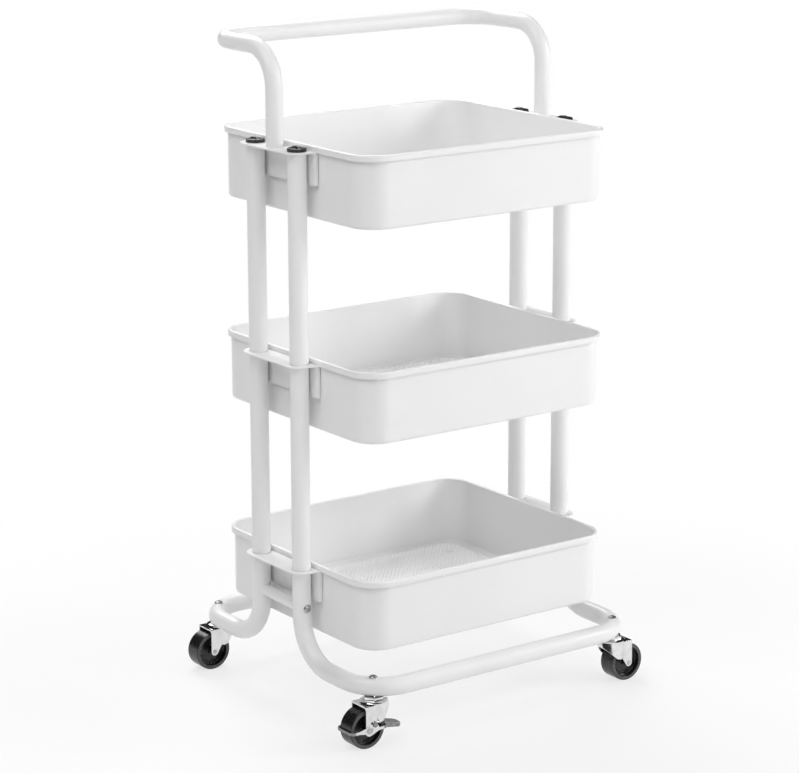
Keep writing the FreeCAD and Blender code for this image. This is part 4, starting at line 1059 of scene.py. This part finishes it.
class CART_OT_stage(bpy.types.Operator):
    """Sets the floor, the lamps, the surroundings and the camera"""

    bl_idname = "cart.stage"
    bl_label = "Stage"

    def execute(self, context):
        settings = context.scene.cart_stage
        self.floor(settings)
        self.surroundings(settings)
        self.lamps(settings)
        self.camera(settings)
        context.scene.view_settings.view_transform = "Standard"
        return {"FINISHED"}

    @staticmethod
    def floor(settings):
        """A plain white floor that keeps the cart's shadow and fades to pure white further out."""
        deselect_all()
        bpy.ops.mesh.primitive_plane_add(size=settings.floor_size)
        floor = bpy.context.object
        floor.name = floor.data.name = "studio_floor"
        material = bpy.data.materials.new("studio_floor")
        material.use_nodes = True
        nodes, links = material.node_tree.nodes, material.node_tree.links
        diffuse = nodes["Principled BSDF"]
        diffuse.inputs["Base Color"].default_value = (*settings.floor, 1)
        diffuse.inputs["Roughness"].default_value = 0.9
        diffuse.inputs["Specular IOR Level"].default_value = 0.1
        white = nodes.new("ShaderNodeEmission")
        spot = nodes.new("ShaderNodeTexCoord")
        distance = nodes.new("ShaderNodeVectorMath")
        distance.operation = "LENGTH"
        plain = nodes.new("ShaderNodeMapRange")
        plain.interpolation_type = "SMOOTHSTEP"
        plain.inputs["From Min"].default_value = settings.shade_near
        plain.inputs["From Max"].default_value = settings.shade_far
        plain.inputs["To Min"].default_value = 1 - settings.shade
        path = nodes.new("ShaderNodeLightPath")
        seen = nodes.new("ShaderNodeMath")
        seen.operation = "MAXIMUM"
        amount = nodes.new("ShaderNodeMath")
        amount.operation = "MULTIPLY"
        blend = nodes.new("ShaderNodeMixShader")
        links.new(spot.outputs["Object"], distance.inputs[0])
        links.new(distance.outputs["Value"], plain.inputs["Value"])
        links.new(path.outputs["Is Camera Ray"], seen.inputs[0])
        links.new(path.outputs["Is Glossy Ray"], seen.inputs[1])
        links.new(seen.outputs["Value"], amount.inputs[0])
        links.new(plain.outputs["Result"], amount.inputs[1])
        links.new(amount.outputs["Value"], blend.inputs["Fac"])
        links.new(diffuse.outputs["BSDF"], blend.inputs[1])
        links.new(white.outputs["Emission"], blend.inputs[2])
        links.new(blend.outputs["Shader"], nodes["Material Output"].inputs["Surface"])
        floor.data.materials.append(material)

    @staticmethod
    def surroundings(settings):
        """Soft light that fades upwards from the horizon, and plain white behind the cart."""
        world = bpy.data.worlds.new("studio")
        bpy.context.scene.world = world
        world.use_nodes = True
        nodes, links = world.node_tree.nodes, world.node_tree.links
        soft = nodes["Background"]
        soft.inputs["Color"].default_value = (1, 1, 1, 1)
        spot = nodes.new("ShaderNodeTexCoord")
        parts = nodes.new("ShaderNodeSeparateXYZ")
        rise = nodes.new("ShaderNodeMapRange")
        rise.inputs["To Min"].default_value = settings.horizon
        rise.inputs["To Max"].default_value = settings.zenith
        white = nodes.new("ShaderNodeBackground")
        white.inputs["Color"].default_value = (1, 1, 1, 1)
        dim = nodes.new("ShaderNodeBackground")
        dim.inputs["Color"].default_value = (1, 1, 1, 1)
        dim.inputs["Strength"].default_value = settings.gleam
        mirrored = nodes.new("ShaderNodeMixShader")
        blend = nodes.new("ShaderNodeMixShader")
        path = nodes.new("ShaderNodeLightPath")
        links.new(spot.outputs["Generated"], parts.inputs["Vector"])
        links.new(parts.outputs["Z"], rise.inputs["Value"])
        links.new(rise.outputs["Result"], soft.inputs["Strength"])
        links.new(path.outputs["Is Glossy Ray"], mirrored.inputs["Fac"])
        links.new(soft.outputs["Background"], mirrored.inputs[1])
        links.new(dim.outputs["Background"], mirrored.inputs[2])
        links.new(path.outputs["Is Camera Ray"], blend.inputs["Fac"])
        links.new(mirrored.outputs["Shader"], blend.inputs[1])
        links.new(white.outputs["Background"], blend.inputs[2])
        links.new(blend.outputs["Shader"], nodes["World Output"].inputs["Surface"])

    @staticmethod
    def lamps(settings):
        places = {
            "front_lamp": ((0.0, -3.0, 1.7), 2.4, settings.front),
            "right_lamp": ((2.5, -1.8, 1.5), 1.4, settings.right),
            "left_lamp": ((-1.7, -0.3, 2.8), 2.0, settings.left),
            "rear_lamp": ((0.6, 2.2, 2.6), 2.0, settings.rear),
        }
        for name, (at, size, energy) in places.items():
            deselect_all()
            bpy.ops.object.light_add(type="AREA", location=at)
            lamp = bpy.context.object
            lamp.name = lamp.data.name = name
            lamp.data.size = size
            lamp.data.energy = energy
            aim = Vector((0, 0, settings.aim)) - lamp.location
            lamp.rotation_euler = aim.to_track_quat("-Z", "Y").to_euler()

    @staticmethod
    def camera(settings):
        deselect_all()
        bpy.ops.object.camera_add()
        camera = bpy.context.object
        camera.name = camera.data.name = "studio_camera"
        camera.data.lens = settings.lens
        camera.data.sensor_width = 36.0
        camera.data.clip_end = 100.0
        camera.matrix_world = (Matrix.Translation(Vector(settings.camera))
                               @ Matrix.Rotation(settings.azimuth, 4, "Z")
                               @ Matrix.Rotation(RIGHT_ANGLE - settings.elevation, 4, "X")
                               @ Matrix.Rotation(settings.roll, 4, "Z"))
        bpy.context.scene.camera = camera


OPERATORS = (
    CART_OT_bent_tubes, CART_OT_poles, CART_OT_cross_bars, CART_OT_trays, CART_OT_mesh_floors,
    CART_OT_brackets, CART_OT_knobs, CART_OT_screws, CART_OT_caster_stems, CART_OT_caster_yokes,
    CART_OT_axles, CART_OT_wheels, CART_OT_brakes, CART_OT_inner_parts, CART_OT_stage,
)
SETTINGS = {
    "cart_finish": CartFinishSettings,
    "cart_tray": CartTraySettings,
    "cart_mesh": CartMeshSettings,
    "cart_tubes": CartTubeSettings,
    "cart_bracket": CartBracketSettings,
    "cart_knob": CartKnobSettings,
    "cart_caster": CartCasterSettings,
    "cart_stage": CartStageSettings,
}


class CART_PT_pieces(bpy.types.Panel):
    """Lists the cart's pieces and their settings"""

    bl_label = "Rolling Cart"
    bl_idname = "CART_PT_pieces"
    bl_space_type = "VIEW_3D"
    bl_region_type = "UI"
    bl_category = "Cart"

    def draw(self, context):
        for operator in OPERATORS:
            self.layout.operator(operator.bl_idname)
        for name, group in SETTINGS.items():
            box = self.layout.box()
            box.label(text=group.__doc__)
            for field in group.__annotations__:
                box.prop(getattr(context.scene, name), field)


def register():
    for name, group in SETTINGS.items():
        bpy.utils.register_class(group)
        setattr(bpy.types.Scene, name, PointerProperty(type=group))
    for item in (*OPERATORS, CART_PT_pieces):
        bpy.utils.register_class(item)


def unregister():
    for item in (CART_PT_pieces, *reversed(OPERATORS)):
        bpy.utils.unregister_class(item)
    for name, group in reversed(SETTINGS.items()):
        delattr(bpy.types.Scene, name)
        bpy.utils.unregister_class(group)


def main():
    register()
    for operator in OPERATORS:
        group, name = operator.bl_idname.split(".")
        getattr(getattr(bpy.ops, group), name)()


if __name__ == "__main__":
    main()
